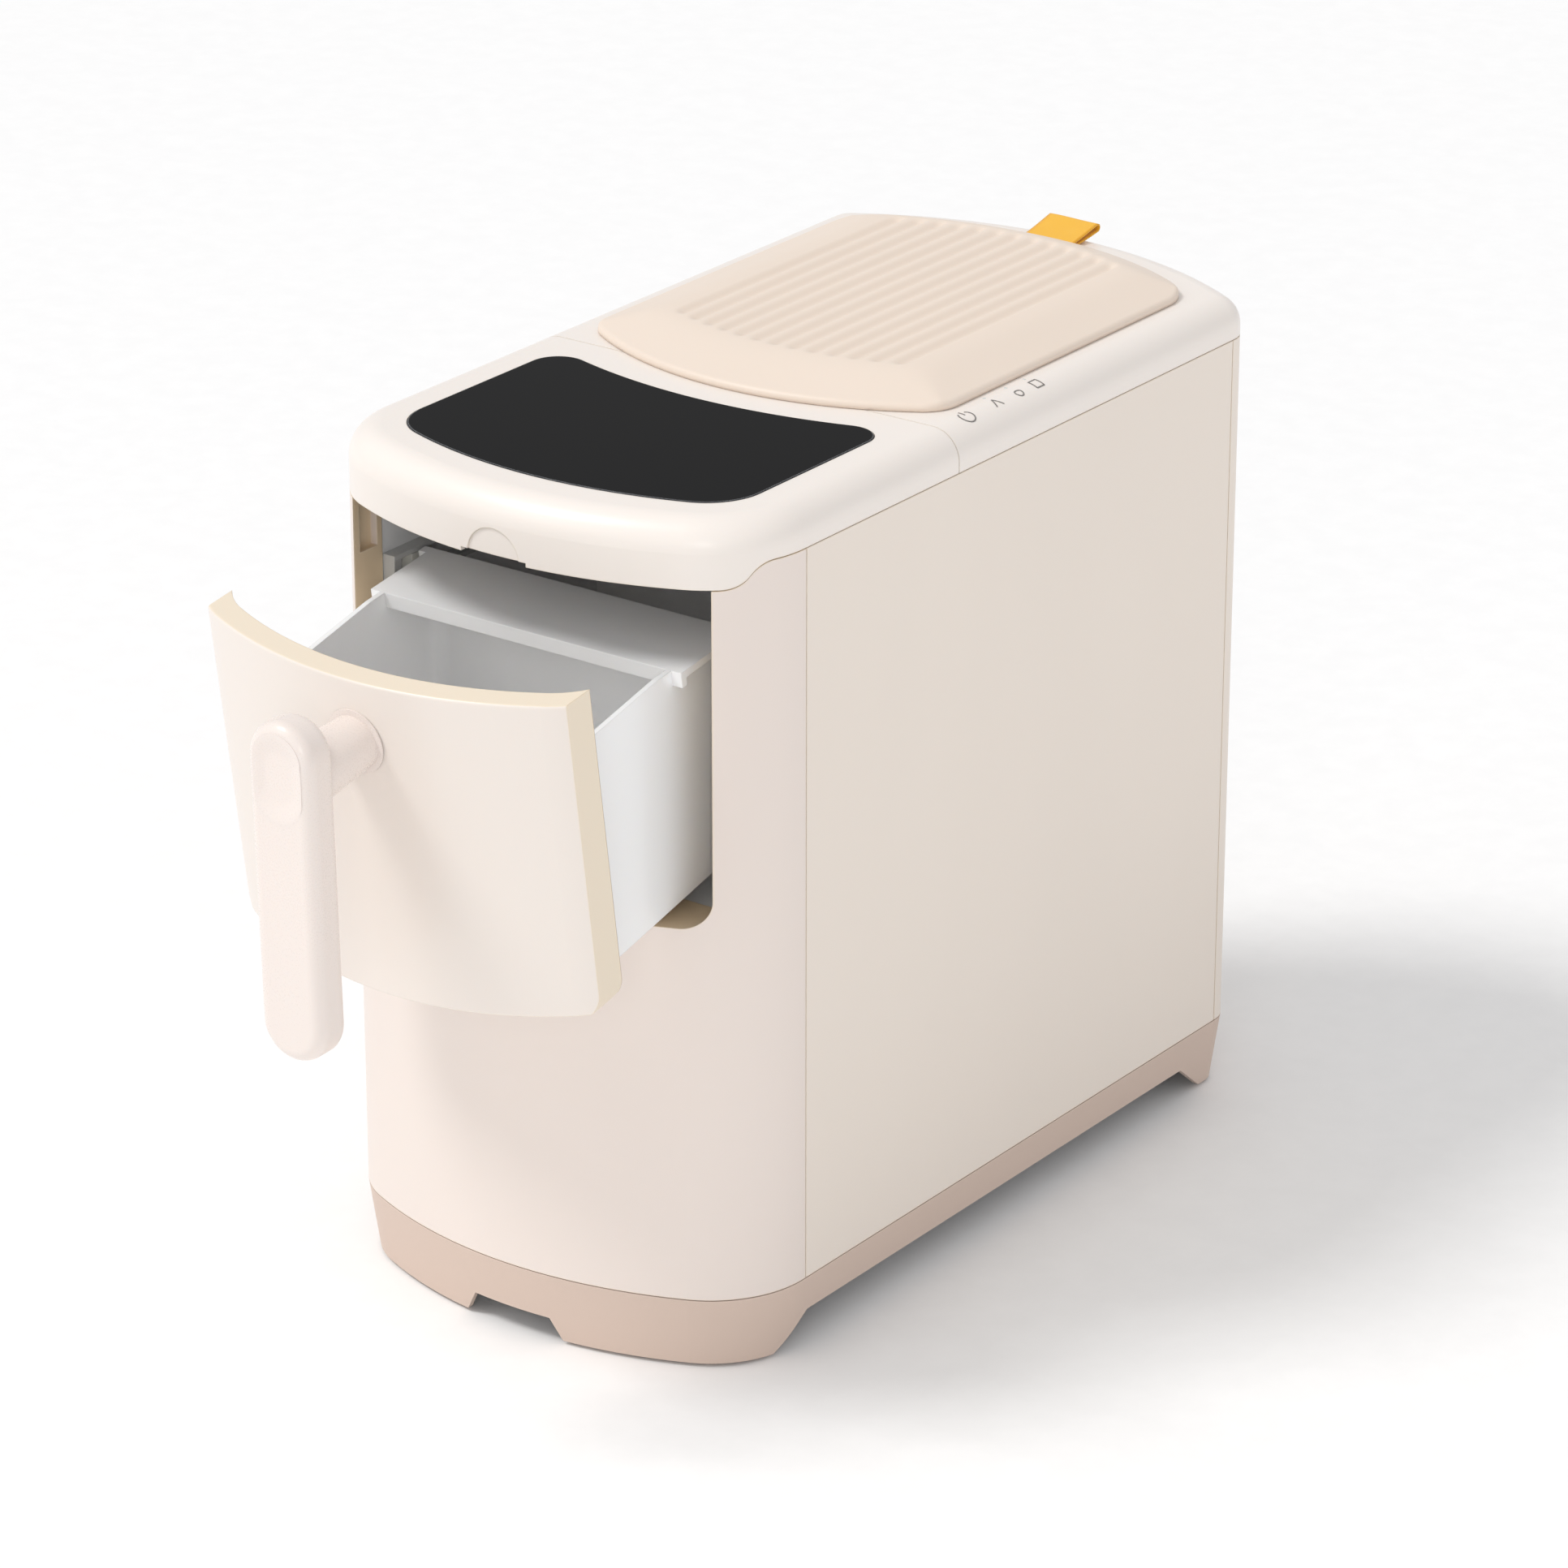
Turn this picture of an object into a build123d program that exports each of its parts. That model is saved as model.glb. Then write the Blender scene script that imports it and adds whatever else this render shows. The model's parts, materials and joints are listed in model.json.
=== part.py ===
from build123d import *
import math
import os

# Countertop ice maker with a pull-out, tip-down ice drawer. Millimetres, +Z up.
# Origin: centre of the body's footprint, on the counter. The drawer faces -Y, +X is the right side.
# The drawer is written in its pulled-out, nose-down pose; every other piece is in its working place.

# Body envelope
BODY_HALF_WIDTH = 100.0
BODY_HALF_DEPTH = 192.0
FRONT_BOW = 29.9
REAR_BOW = 31.0
FRONT_CORNER_R = 43.0
REAR_CORNER_R = 14.0
WALL = 2.5
SEAM = 0.4
FAR = 400.0

# Heights
SKIRT_TOP = 30.0
SEAM_Z = 326.0
VISOR_Z = 316.5
TOP_Z = 342.0
TOP_EDGE_R = 12.0
FRONT_SEAM_Y = -135.0
REAR_SEAM_Y = 152.3
TOP_SEAM_Y = -38.0
SWEEP_START_Y = -169.0
SWEEP_END_Y = -151.0

# Skirt, feet and decks
SKIRT_BOTTOM = 1.5
SKIRT_DRAFT = 4.0
SKIRT_WALL = 2.8
SKIRT_LIP = 5.0
FRONT_ARCH_HALF = 24.0
FRONT_ARCH_SLOPE = 6.0
FRONT_ARCH_H = 10.5
SIDE_ARCH_HALF = 150.0
SIDE_ARCH_SLOPE = 19.0
SIDE_ARCH_H = 14.8
FOOT_R = 9.0
FOOT_X = 70.0
FOOT_Y = 148.0
BASE_LOW = 18.0
BASE_THICK = 2.0
DECK_LOW = 175.0
DECK_THICK = 2.0

# Drawer opening and its surround
OPEN_HALF = 83.4
OPEN_LOW = 183.0
OPEN_CORNER_R = 11.0
SURROUND_WALL = 4.0
SURROUND_REAR_Y = -154.0
POCKET_LOW = 293.0
POCKET_HIGH = 312.0
POCKET_FRONT_Y = -167.0
POCKET_REAR_Y = -157.0
POCKET_DEPTH = 3.0

# Ice chamber
LINER_HALF = 84.0
LINER_WALL = 2.0
LINER_REAR_Y = -20.0
LINER_HIGH = 312.0
LINER_FLOOR = 179.5
REAR_WALL_HIGH = 254.0
FOAM_THICK = 7.0

# Drawer motion, from closed to the pulled-out pose
DRAWER_OUT = 79.9
DRAWER_TIP = 8.1
PIVOT_Y = -56.8
PIVOT_Z = 282.0

# Drawer front plate
PLATE_HALF = 82.6
PLATE_LOW = 183.8
PLATE_HIGH = 315.7
PLATE_THICK = 10.0
PLATE_CORNER_R = 13.0
PLATE_EDGE_R = 1.0
UNDERCUT_RISE = 13.0

# Ice bin
BIN_HALF = 68.0
BIN_WALL = 2.2
BIN_REAR_LOW_Y = -76.0
BIN_REAR_DRAFT = 9.0
BIN_REAR_EDGE_MIN = 60.0
BIN_CORNER_R = 9.0
BIN_SLOPE = 5.2
BIN_FLOOR_Z = 192.0
BIN_RIM_Z = 284.8
BIN_RIM_Y = -143.3
LEDGE_HALF = 76.0
LEDGE_LOW = 285.5
LEDGE_THICK = 3.0
LEDGE_LIP = 3.2
LEDGE_WING = 72.5
LEDGE_FRONT_Y = -94.0
KNUCKLE_R = 4.2
RIB_DROP = 25.0
RIB_LAP = 1.0

# Drawer carriage and rails
SHAFT_R = 2.0
SHAFT_HALF = 82.0
BORE_R = 2.05
SHOE_INNER_X = 78.5
SHOE_OUTER_X = 83.5
SHOE_HALF_LEN = 6.0
SHOE_HALF_H = 4.0
RAIL_INNER_X = 78.2
RAIL_GAP = 0.4
RAIL_FLANGE = 2.0
RAIL_FRONT_Y = -153.4
RAIL_REAR_Y = -46.0

# Handle, in the closed drawer's frame
STEM_Z = 290.8
STEM_ROOT_R = 10.5
STEM_GRIP_R = 12.5
STEM_COLLAR_R = 12.8
STEM_COLLAR = 0.6
STEM_LAP = 6.0
GRIP_TOP_Y = -224.7
GRIP_TOP_Z = 316.4
GRIP_LENGTH = 132.4
GRIP_WIDTH = 29.0
GRIP_THICK = 16.0
GRIP_EDGE_R = 5.0
GRIP_RAKE = 6.5
PAD_WIDTH = 22.0
PAD_LENGTH = 35.0
PAD_DROP = 21.0
PAD_RECESS = 1.6
PAD_THICK = 1.2
PAD_GAP = 0.15
SCREW_R = 2.0
SCREW_HEAD_R = 4.0
SCREW_HEAD = 2.4
SCREW_SPACING = 10.0
SCREW_LENGTH = 22.0
SCREW_PLAY = 0.04

# Window in the top front cover
WINDOW_HALF = 79.0
WINDOW_FRONT_Y = -168.7
WINDOW_FRONT_BOW = 18.1
WINDOW_REAR_Y = -64.8
WINDOW_REAR_BOW = 15.1
WINDOW_FRONT_R = 24.0
WINDOW_REAR_R = 12.0
WINDOW_THICK = 1.9
WINDOW_PROUD = 0.3
WINDOW_SEAT = 5.0
WINDOW_BED = 0.1
DOME_R = 12.0
DOME_DEPTH = 0.6
DOME_REACH = 10.0
NOTCH_HALF = 15.0
NOTCH_H = 1.6
NOTCH_REAR_Y = -100.0

# Tank lid
LID_HALF = 83.0
LID_FRONT_Y = -50.5
LID_FRONT_BOW = 27.0
LID_REAR_Y = 170.0
LID_REAR_BOW = 26.0
LID_FRONT_R = 16.0
LID_REAR_R = 22.0
LID_LIFT = 0.3
LID_RIM = 2.6
LID_HIGH = 351.6
LID_SHOULDER = 23.0
LID_WALL = 2.4
GROOVE_COUNT = 13
GROOVE_PITCH = 8.6
GROOVE_R = 1.7
GROOVE_FRONT_INSET = 32.0
GROOVE_REAR_INSET = 19.5
MOUTH_HALF = 62.0
MOUTH_FRONT_Y = 56.0
MOUTH_REAR_Y = 146.0
MOUTH_R = 12.0
PLUG_GAP = 2.2
PLUG_WALL = 2.0
PLUG_LOW = 329.0
GASKET_LOW = 333.0
GASKET_HIGH = 337.0
GASKET_GAP = 0.35

# Pull tab
TAB_HALF = 12.0
TAB_ROOT_Y = 161.0
TAB_EDGE_Y = 171.5
TAB_TIP_Y = 190.0
TAB_TIP_Z = 348.0
TAB_THICK = 2.0

# Water tank
TANK_HALF = 70.0
TANK_FRONT_Y = 50.0
TANK_REAR_Y = 152.0
TANK_LOW = 190.0
TANK_HIGH = 339.0
TANK_WALL = 2.2
TANK_R = 14.0
TANK_LEG_R = 6.0
TANK_LEG_INSET = 20.0
FILTER_R = 16.0
FILTER_H = 8.0
FILTER_HOLES = 12
FILTER_HOLE_R = 1.5
FILTER_RING = 0.7

# Ice making unit
COVER_HALF = 70.0
COVER_FRONT_Y = -46.0
COVER_REAR_Y = 46.0
COVER_LOW = 291.0
COVER_HIGH = 337.0
COVER_CORNER_R = 6.0
COVER_INNER_R = 4.0
EVAP_HALF = 42.0
EVAP_FRONT_Y = -26.0
EVAP_REAR_Y = 18.0
EVAP_LOW = 325.0
EVAP_HIGH = 331.0
FINGER_R = 4.5
FINGER_LOW = 305.0
FINGER_ROWS = 3
FINGER_COLUMNS = 4
FINGER_PITCH_X = 22.0
FINGER_PITCH_Y = 15.0
FINGER_TIP = 0.8
POST_R = 3.0
POST_INSET = 8.0
TRAY_HALF = 48.0
TRAY_FRONT_Y = -36.0
TRAY_REAR_Y = 26.0
TRAY_LOW = 298.0
TRAY_HIGH = 319.0
TRAY_WALL = 2.0
TRAY_PIVOT_Y = 34.0
TRAY_PIVOT_Z = 310.0
TRAY_SHAFT_R = 3.0
TRAY_SHAFT_END = 58.0
SHAFT_PLAY = 0.05
EAR_WIDTH = 6.0
EAR_R = 5.0
MOTOR_R = 13.0
MOTOR_Y = 27.0
MOTOR_Z = 318.0
MOTOR_X0 = 53.0
MOTOR_X1 = 67.0
BRACKET_X0 = 49.0
BRACKET_X1 = 51.5
BRACKET_HALF = 6.0
TROUGH_HALF = 48.8
TROUGH_R = 72.6
TROUGH_THICK = 2.0
TROUGH_LIP_Z = 289.0
TROUGH_LIP_Y = -50.0
EXIT_HALF = 50.0
EXIT_HIGH = 318.0
SLOT_FRONT_Y = 26.0
SLOT_REAR_Y = 30.0
SENSOR_X = 60.0
SENSOR_HALF = 5.0
SENSOR_DEEP = 7.0
SENSOR_LOW = 293.0
SENSOR_HIGH = 305.0
LENS_R = 2.5
LENS_DEEP = 2.0

# Cooling unit in the base
COMPRESSOR_R = 48.0
COMPRESSOR_H = 118.0
COMPRESSOR_X = -28.0
COMPRESSOR_Y = 30.0
COMPRESSOR_LOW = 26.0
CAN_TOP_R = 22.0
CAN_FOOT_R = 8.0
SOLE_HALF_X = 52.0
SOLE_HALF_Y = 26.0
SOLE_THICK = 3.0
TERMINAL_LAP = 4.0
TERMINAL_DEEP = 18.0
TERMINAL_HALF = 18.0
TERMINAL_LOW = 60.0
TERMINAL_HIGH = 104.0
MOUNT_R = 6.0
MOUNT_X = 42.0
MOUNT_Y = 18.0
CONDENSER_HALF = 48.0
CONDENSER_FRONT_Y = 104.0
CONDENSER_REAR_Y = 128.0
CONDENSER_LOW = 34.0
CONDENSER_HIGH = 134.0
FIN_PITCH = 4.0
FIN_THICK = 0.8
CORE_INSET = 8.0
CORE_MARGIN = 10.0
CORE_LAP = 1.0
FAN_HALF = 46.0
FAN_FRONT_Y = 134.0
FAN_REAR_Y = 159.0
FAN_Z = 84.0
FAN_BORE_R = 43.0
FAN_BLADE_R = 41.0
FAN_HUB_R = 17.0
FAN_BLADES = 7
FAN_CORNER_R = 6.0
FAN_CLEAR = 4.0
FAN_REAR_CLEAR = 3.0
FAN_STAND_HALF = 20.0
SPIDER_THICK = 3.0
SPIDER_HALF = 3.0
SPINDLE_R = 2.5
SPINDLE_LENGTH = 14.0
HUB_BORE = 15.0
HUB_EDGE_R = 2.0
BLADE_LAP = 3.0
BLADE_THICK = 1.6
BLADE_CHORD = 17.0
BLADE_PITCH = 35.0
BOARD_X = 90.0
BOARD_FRONT_Y = -118.0
BOARD_REAR_Y = -28.0
BOARD_LOW = 50.0
BOARD_HIGH = 130.0
BOARD_THICK = 1.6
COIL_Y = -108.0
COIL_LENGTH = 24.0
COIL_LOW = 60.0
COIL_HIGH = 88.0
COIL_DEEP = 24.0
RELAY_Y = -72.0
RELAY_LENGTH = 14.0
RELAY_LOW = 62.0
RELAY_HIGH = 80.0
RELAY_DEEP = 12.0
CAPACITOR_R = 5.0
CAPACITOR_DEEP = 16.0
CAPACITOR_Y = -100.0
CAPACITOR_PITCH = 14.0
CAPACITOR_Z = 114.0
CAPACITORS = 3
TOUCH_X0 = 74.0
TOUCH_X1 = 86.0
TOUCH_Y0 = -32.0
TOUCH_Y1 = 38.0
TOUCH_GAP = 1.6
PUMP_R = 14.0
PUMP_X = 58.0
PUMP_H = 40.0
PUMP_BODY_H = 22.0
PUMP_NECK_H = 34.0
PUMP_NECK_R = 11.2
PIPE_R = 3.0
PIPE_X = -58.0
PIPE_Y = 8.0
PIPE_BEND = 7.0
PIPE_SINK = 14.0
HOSE_R = 4.0
HOSE_TOP_Z = 325.0
HOSE_BEND = 6.0
HOSE_END_INSET = 2.0
FEED_R = 3.5
FEED_X = 52.0
FEED_Z = 196.0
VALVE_R = 9.0
VALVE_X = 56.0
VALVE_Y = 40.0
VALVE_LOW = 106.0
VALVE_MIDDLE = 120.0
VALVE_HIGH = 150.0
VALVE_BODY_HALF = 8.0

# Rear panel fittings
VENT_COUNT = 13
VENT_PITCH = 8.0
VENT_H = 3.6
VENT_HALF = 52.0
VENT_LOW = 44.0
INLET_X = 30.0
INLET_Y = 184.0
INLET_Z = 212.0
INLET_W = 30.0
INLET_H = 24.0
INLET_CORNER_R = 3.0
INLET_DEEP = 22.0
INLET_FLANGE = 2.0
SOCKET_WALL = 3.0
SOCKET_SHELF = 3.5
SOCKET_DEEP = 14.0
SOCKET_CORNER_R = 2.0
PIN_PITCH = 7.0
PIN_RISE = 2.5
PIN_HALF_W = 1.0
PIN_HALF_H = 2.0
PIN_SHORT = 2.0
DRAIN_X = -60.0
DRAIN_PIPE_R = 5.0
DRAIN_PIPE_Y = 132.0
DRAIN_Z = 46.0
DRAIN_R = 8.0
DRAIN_BORE_R = 5.0
DRAIN_INNER_Y = 158.0
DRAIN_FACE_Y = 185.0
PLUG_LENGTH = 12.0
PLUG_HEAD = 5.0
PLUG_PLAY = 0.06
PLUG_RIM = 0.5
REAR_SCREW_R = 3.5
REAR_SCREW_X = 86.0
REAR_SCREW_Z = (44.0, 178.0, 312.0)
REAR_SCREW_SINK = 0.4
REAR_SCREW_PROUD = 1.6
SIDE_VENT_COUNT = 9
SIDE_VENT_PITCH = 9.0
SIDE_VENT_LEN = 70.0
SIDE_VENT_H = 4.0
SIDE_VENT_Y = 35.0
SIDE_VENT_LOW = 56.0


def block(x0, x1, y0, y1, z0, z1):
    """Box between two corners."""
    centre = Pos((x0 + x1) / 2, (y0 + y1) / 2, (z0 + z1) / 2)
    return centre * Box(x1 - x0, y1 - y0, z1 - z0)


def rod(axis, radius, start, end, first, second):
    """Cylinder along one axis; first and second are its two other coordinates in X, Y, Z order."""
    middle = (start + end) / 2
    solid = Cylinder(radius, end - start)
    if axis == "x":
        return Pos(middle, first, second) * Rot(0, 90, 0) * solid
    if axis == "y":
        return Pos(first, middle, second) * Rot(90, 0, 0) * solid
    return Pos(first, second, middle) * solid


def bowed_face(half, front_y, front_bow, rear_y, rear_bow, front_r, rear_r):
    """Plan face with straight sides and bowed front and rear, corners rounded."""
    front_side_y = front_y + front_bow
    rear_side_y = rear_y - rear_bow
    front = ThreePointArc((-half, front_side_y), (0, front_y), (half, front_side_y))
    right = Line((half, front_side_y), (half, rear_side_y))
    rear = ThreePointArc((half, rear_side_y), (0, rear_y), (-half, rear_side_y))
    left = Line((-half, rear_side_y), (-half, front_side_y))
    face = make_face([front, right, rear, left])
    split_y = (front_side_y + rear_side_y) / 2
    face = fillet(face.vertices().filter_by(lambda v: v.Y < split_y), front_r)
    return fillet(face.vertices().filter_by(lambda v: v.Y > rear_side_y - 1), rear_r)


def plan(inset=0.0):
    """The body's plan outline, inset by a wall."""
    face = bowed_face(
        BODY_HALF_WIDTH,
        -BODY_HALF_DEPTH,
        FRONT_BOW,
        BODY_HALF_DEPTH,
        REAR_BOW,
        FRONT_CORNER_R,
        REAR_CORNER_R,
    )
    if inset == 0.0:
        return face
    return offset(face, amount=-inset)


def prism(face, low, high):
    """Plan face raised between two heights."""
    return Pos(0, 0, low) * extrude(face, high - low)


def shell(low, high, inset=0.0, wall=WALL):
    """Upright wall that follows the body's outline."""
    return prism(plan(inset), low, high) - prism(plan(inset + wall), low - 1, high + 1)


def zone(y0, y1):
    """Everything between two Y stations."""
    return block(-FAR, FAR, y0, y1, -FAR, FAR)


def below_covers(drop):
    """Everything under the top covers' lower edge, which dips to a visor at the front."""
    low = VISOR_Z - drop
    high = SEAM_Z - drop
    middle = ((SWEEP_START_Y + SWEEP_END_Y) / 2, (low + high) / 2)
    start = (SWEEP_START_Y, low)
    end = (SWEEP_END_Y, high)
    first = TangentArc(start, middle, tangent=(1, 0))
    second = TangentArc(middle, end, tangent=first % 1)
    outline = [
        Line((-FAR, -FAR), (-FAR, low)),
        Line((-FAR, low), start),
        first,
        second,
        Line(end, (FAR, high)),
        Line((FAR, high), (FAR, -FAR)),
        Line((FAR, -FAR), (-FAR, -FAR)),
    ]
    return extrude(Plane.YZ * make_face(outline), FAR, both=True)


def in_drawer_pose(shape):
    """Moves a piece of the closed drawer to the pulled-out, nose-down pose."""
    hinge = Axis((0, PIVOT_Y, PIVOT_Z), (1, 0, 0))
    return Pos(0, -DRAWER_OUT, 0) * shape.rotate(hinge, DRAWER_TIP)


def pipe(points, radii, radius):
    """Round tube along straight runs joined by tangent arcs."""
    path = FilletPolyline(*points, radius=radii)
    section = Plane(origin=path @ 0, z_dir=path % 0) * Circle(radius)
    return sweep(section, path=path)


def stadium(width, length):
    """Upright bar outline with fully round ends, drawn in the XZ plane about its centre."""
    return Plane.XZ * SlotOverall(length, width, rotation=90)


# Base


def arch(half, slope, height):
    """Side view of a shallow arch that stands on the counter plane."""
    return Polygon((-half, 0), (slope - half, height), (half - slope, height), (half, 0), align=None)


def base_skirt():
    """Drafted skirt with a shallow arch on each side, and a lip that the panels stand round."""
    outer = loft([Pos(0, 0, SKIRT_BOTTOM) * plan(SKIRT_DRAFT), Pos(0, 0, SKIRT_TOP) * plan()])
    inner = loft(
        [
            Pos(0, 0, SKIRT_BOTTOM - 1) * plan(SKIRT_DRAFT + SKIRT_WALL),
            Pos(0, 0, SKIRT_TOP + 1) * plan(SKIRT_WALL),
        ]
    )
    skirt = outer - inner
    skirt += shell(BASE_LOW + BASE_THICK + 1, SKIRT_TOP + SKIRT_LIP, WALL + SEAM, 2 * WALL)
    front = arch(FRONT_ARCH_HALF, FRONT_ARCH_SLOPE, FRONT_ARCH_H)
    side = arch(SIDE_ARCH_HALF, SIDE_ARCH_SLOPE, SIDE_ARCH_H)
    skirt -= extrude(Plane.XZ * front, FAR, both=True)
    return skirt - extrude(Plane.YZ * side, FAR, both=True)


def base_plate():
    """Steel plate that carries the cooling unit."""
    return prism(plan(SKIRT_DRAFT + SKIRT_WALL + SEAM), BASE_LOW, BASE_LOW + BASE_THICK)


def rubber_feet():
    """Four feet under the base plate."""
    corners = [(x, y) for x in (-FOOT_X, FOOT_X) for y in (-FOOT_Y, FOOT_Y)]
    return Compound([rod("z", FOOT_R, 0, BASE_LOW, x, y) for x, y in corners])


def deck_plate():
    """Deck between the cooling unit and the wet parts above."""
    deck = prism(plan(WALL + 2 * SEAM), DECK_LOW, DECK_LOW + DECK_THICK)
    deck -= rod("z", PIPE_R + SEAM, 0, FAR, PIPE_X, PIPE_Y)
    return deck - rod("z", DRAIN_PIPE_R + SEAM, 0, FAR, DRAIN_X, DRAIN_PIPE_Y)


# Casing


def opening_prism(grow, rear_y):
    """The drawer opening, grown by a margin, from in front of the body back to rear_y."""
    half = OPEN_HALF + grow
    low = OPEN_LOW - grow
    centre_z = (low + FAR) / 2
    face = Pos(0, centre_z) * Rectangle(2 * half, FAR - low)
    face = fillet(face.vertices().sort_by(Axis.Y)[:2], OPEN_CORNER_R + grow)
    return Pos(0, rear_y, 0) * extrude(Plane.XZ * face, FAR)


def front_panel():
    """Bowed front with the drawer opening, its deep surround and a latch pocket in each jamb."""
    panel = shell(SKIRT_TOP + SEAM, FAR)
    surround = opening_prism(SURROUND_WALL, SURROUND_REAR_Y) & prism(plan(WALL / 2), DECK_LOW, FAR)
    panel += surround
    panel -= opening_prism(0, SURROUND_REAR_Y + 1)
    panel &= zone(-FAR, FRONT_SEAM_Y - SEAM / 2)
    panel &= below_covers(SEAM)
    for side in (-1, 1):
        inner = side * (OPEN_HALF - 1)
        outer = side * (OPEN_HALF + POCKET_DEPTH)
        low_x, high_x = sorted((inner, outer))
        panel -= block(low_x, high_x, POCKET_FRONT_Y, POCKET_REAR_Y, POCKET_LOW, POCKET_HIGH)
    return panel


def side_panel(side):
    """Flat side panel."""
    panel = shell(SKIRT_TOP + SEAM, SEAM_Z - SEAM)
    panel &= zone(FRONT_SEAM_Y + SEAM / 2, REAR_SEAM_Y - SEAM / 2)
    half = block(0, FAR, -FAR, FAR, 0, FAR)
    return panel & (half if side > 0 else mirror(half, Plane.YZ))


def side_panel_right():
    """Right side panel, plain."""
    return side_panel(1)


def side_panel_left():
    """Left side panel, with the air intake slots."""
    panel = side_panel(-1)
    for row in range(SIDE_VENT_COUNT):
        low = SIDE_VENT_LOW + row * SIDE_VENT_PITCH
        y0 = SIDE_VENT_Y - SIDE_VENT_LEN / 2
        panel -= block(-FAR, 0, y0, y0 + SIDE_VENT_LEN, low, low + SIDE_VENT_H)
    return panel


def rear_panel():
    """Bowed rear with exhaust slots, the power inlet's cut-out and the drain hole."""
    panel = shell(SKIRT_TOP + SEAM, SEAM_Z - SEAM) & zone(REAR_SEAM_Y + SEAM / 2, FAR)
    for row in range(VENT_COUNT):
        low = VENT_LOW + row * VENT_PITCH
        panel -= block(-VENT_HALF, VENT_HALF, 0, FAR, low, low + VENT_H)
    half_w = INLET_W / 2 + SEAM
    half_h = INLET_H / 2 + SEAM
    panel -= block(INLET_X - half_w, INLET_X + half_w, 0, FAR, INLET_Z - half_h, INLET_Z + half_h)
    return panel - rod("y", DRAIN_R + SEAM, 0, FAR, DRAIN_X, DRAIN_Z)


def cover_blank():
    """Both top covers before they are parted: a tray upside down with a soft upper edge."""
    outer = prism(plan(), VISOR_Z, TOP_Z)
    outer = fillet(outer.faces().sort_by(Axis.Z)[-1].edges(), TOP_EDGE_R)
    inner = prism(plan(WALL), VISOR_Z - 1, TOP_Z - WALL)
    inner = fillet(inner.faces().sort_by(Axis.Z)[-1].edges(), TOP_EDGE_R - WALL)
    return outer - inner - below_covers(0)


def window_face(inset):
    """Plan of the window: the front follows the body, the rear is hollow to follow the lid."""
    half = WINDOW_HALF
    front_y = WINDOW_FRONT_Y + WINDOW_FRONT_BOW
    rear_y = WINDOW_REAR_Y + WINDOW_REAR_BOW
    front = ThreePointArc((-half, front_y), (0, WINDOW_FRONT_Y), (half, front_y))
    right = Line((half, front_y), (half, rear_y))
    rear = ThreePointArc((half, rear_y), (0, WINDOW_REAR_Y), (-half, rear_y))
    left = Line((-half, rear_y), (-half, front_y))
    face = make_face([front, right, rear, left])
    middle_y = (front_y + rear_y) / 2
    face = fillet(face.vertices().filter_by(lambda v: v.Y < middle_y), WINDOW_FRONT_R)
    face = fillet(face.vertices().filter_by(lambda v: v.Y > rear_y - 1), WINDOW_REAR_R)
    return offset(face, amount=-inset) if inset else face


def top_front_cover():
    """Front cover with the visor, the window's seat, and a thumb dome over a finger notch."""
    cover = cover_blank() & zone(-FAR, TOP_SEAM_Y - SEAM / 2)
    seat_low = TOP_Z + WINDOW_PROUD - WINDOW_THICK - WINDOW_BED
    cover -= prism(window_face(0), seat_low, FAR)
    cover -= prism(window_face(WINDOW_SEAT), 0, FAR)
    dome = rod("y", DOME_R, -FAR, -BODY_HALF_DEPTH + DOME_REACH, 0, VISOR_Z)
    cover -= dome - prism(plan(DOME_DEPTH), 0, FAR)
    return cover - block(-NOTCH_HALF, NOTCH_HALF, -FAR, NOTCH_REAR_Y, 0, VISOR_Z + NOTCH_H)


def top_window():
    """Dark window that stands slightly proud of its seat."""
    low = TOP_Z + WINDOW_PROUD - WINDOW_THICK
    glass = prism(window_face(SEAM / 2), low, TOP_Z + WINDOW_PROUD)
    return chamfer(glass.faces().sort_by(Axis.Z)[-1].edges(), SEAM)


def mouth_face(inset):
    """Rounded plan of the tank's mouth."""
    width = 2 * (MOUTH_HALF - inset)
    depth = MOUTH_REAR_Y - MOUTH_FRONT_Y - 2 * inset
    centre_y = (MOUTH_REAR_Y + MOUTH_FRONT_Y) / 2
    return Pos(0, centre_y) * RectangleRounded(width, depth, MOUTH_R - inset)


def top_rear_cover():
    """Rear cover with the tank's mouth."""
    cover = cover_blank() & zone(TOP_SEAM_Y + SEAM / 2, FAR)
    return cover - prism(mouth_face(0), 0, FAR)


# Tank lid


def lid_face(inset):
    """Plan of the tank lid."""
    return bowed_face(
        LID_HALF - inset,
        LID_FRONT_Y + inset,
        LID_FRONT_BOW,
        LID_REAR_Y - inset,
        LID_REAR_BOW,
        LID_FRONT_R,
        LID_REAR_R,
    )


def bow_at(x, bow):
    """How far a bowed end of the lid lies behind its middle at x."""
    radius = (LID_HALF**2 + bow**2) / (2 * bow)
    return radius - math.sqrt(radius**2 - x**2)


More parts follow.
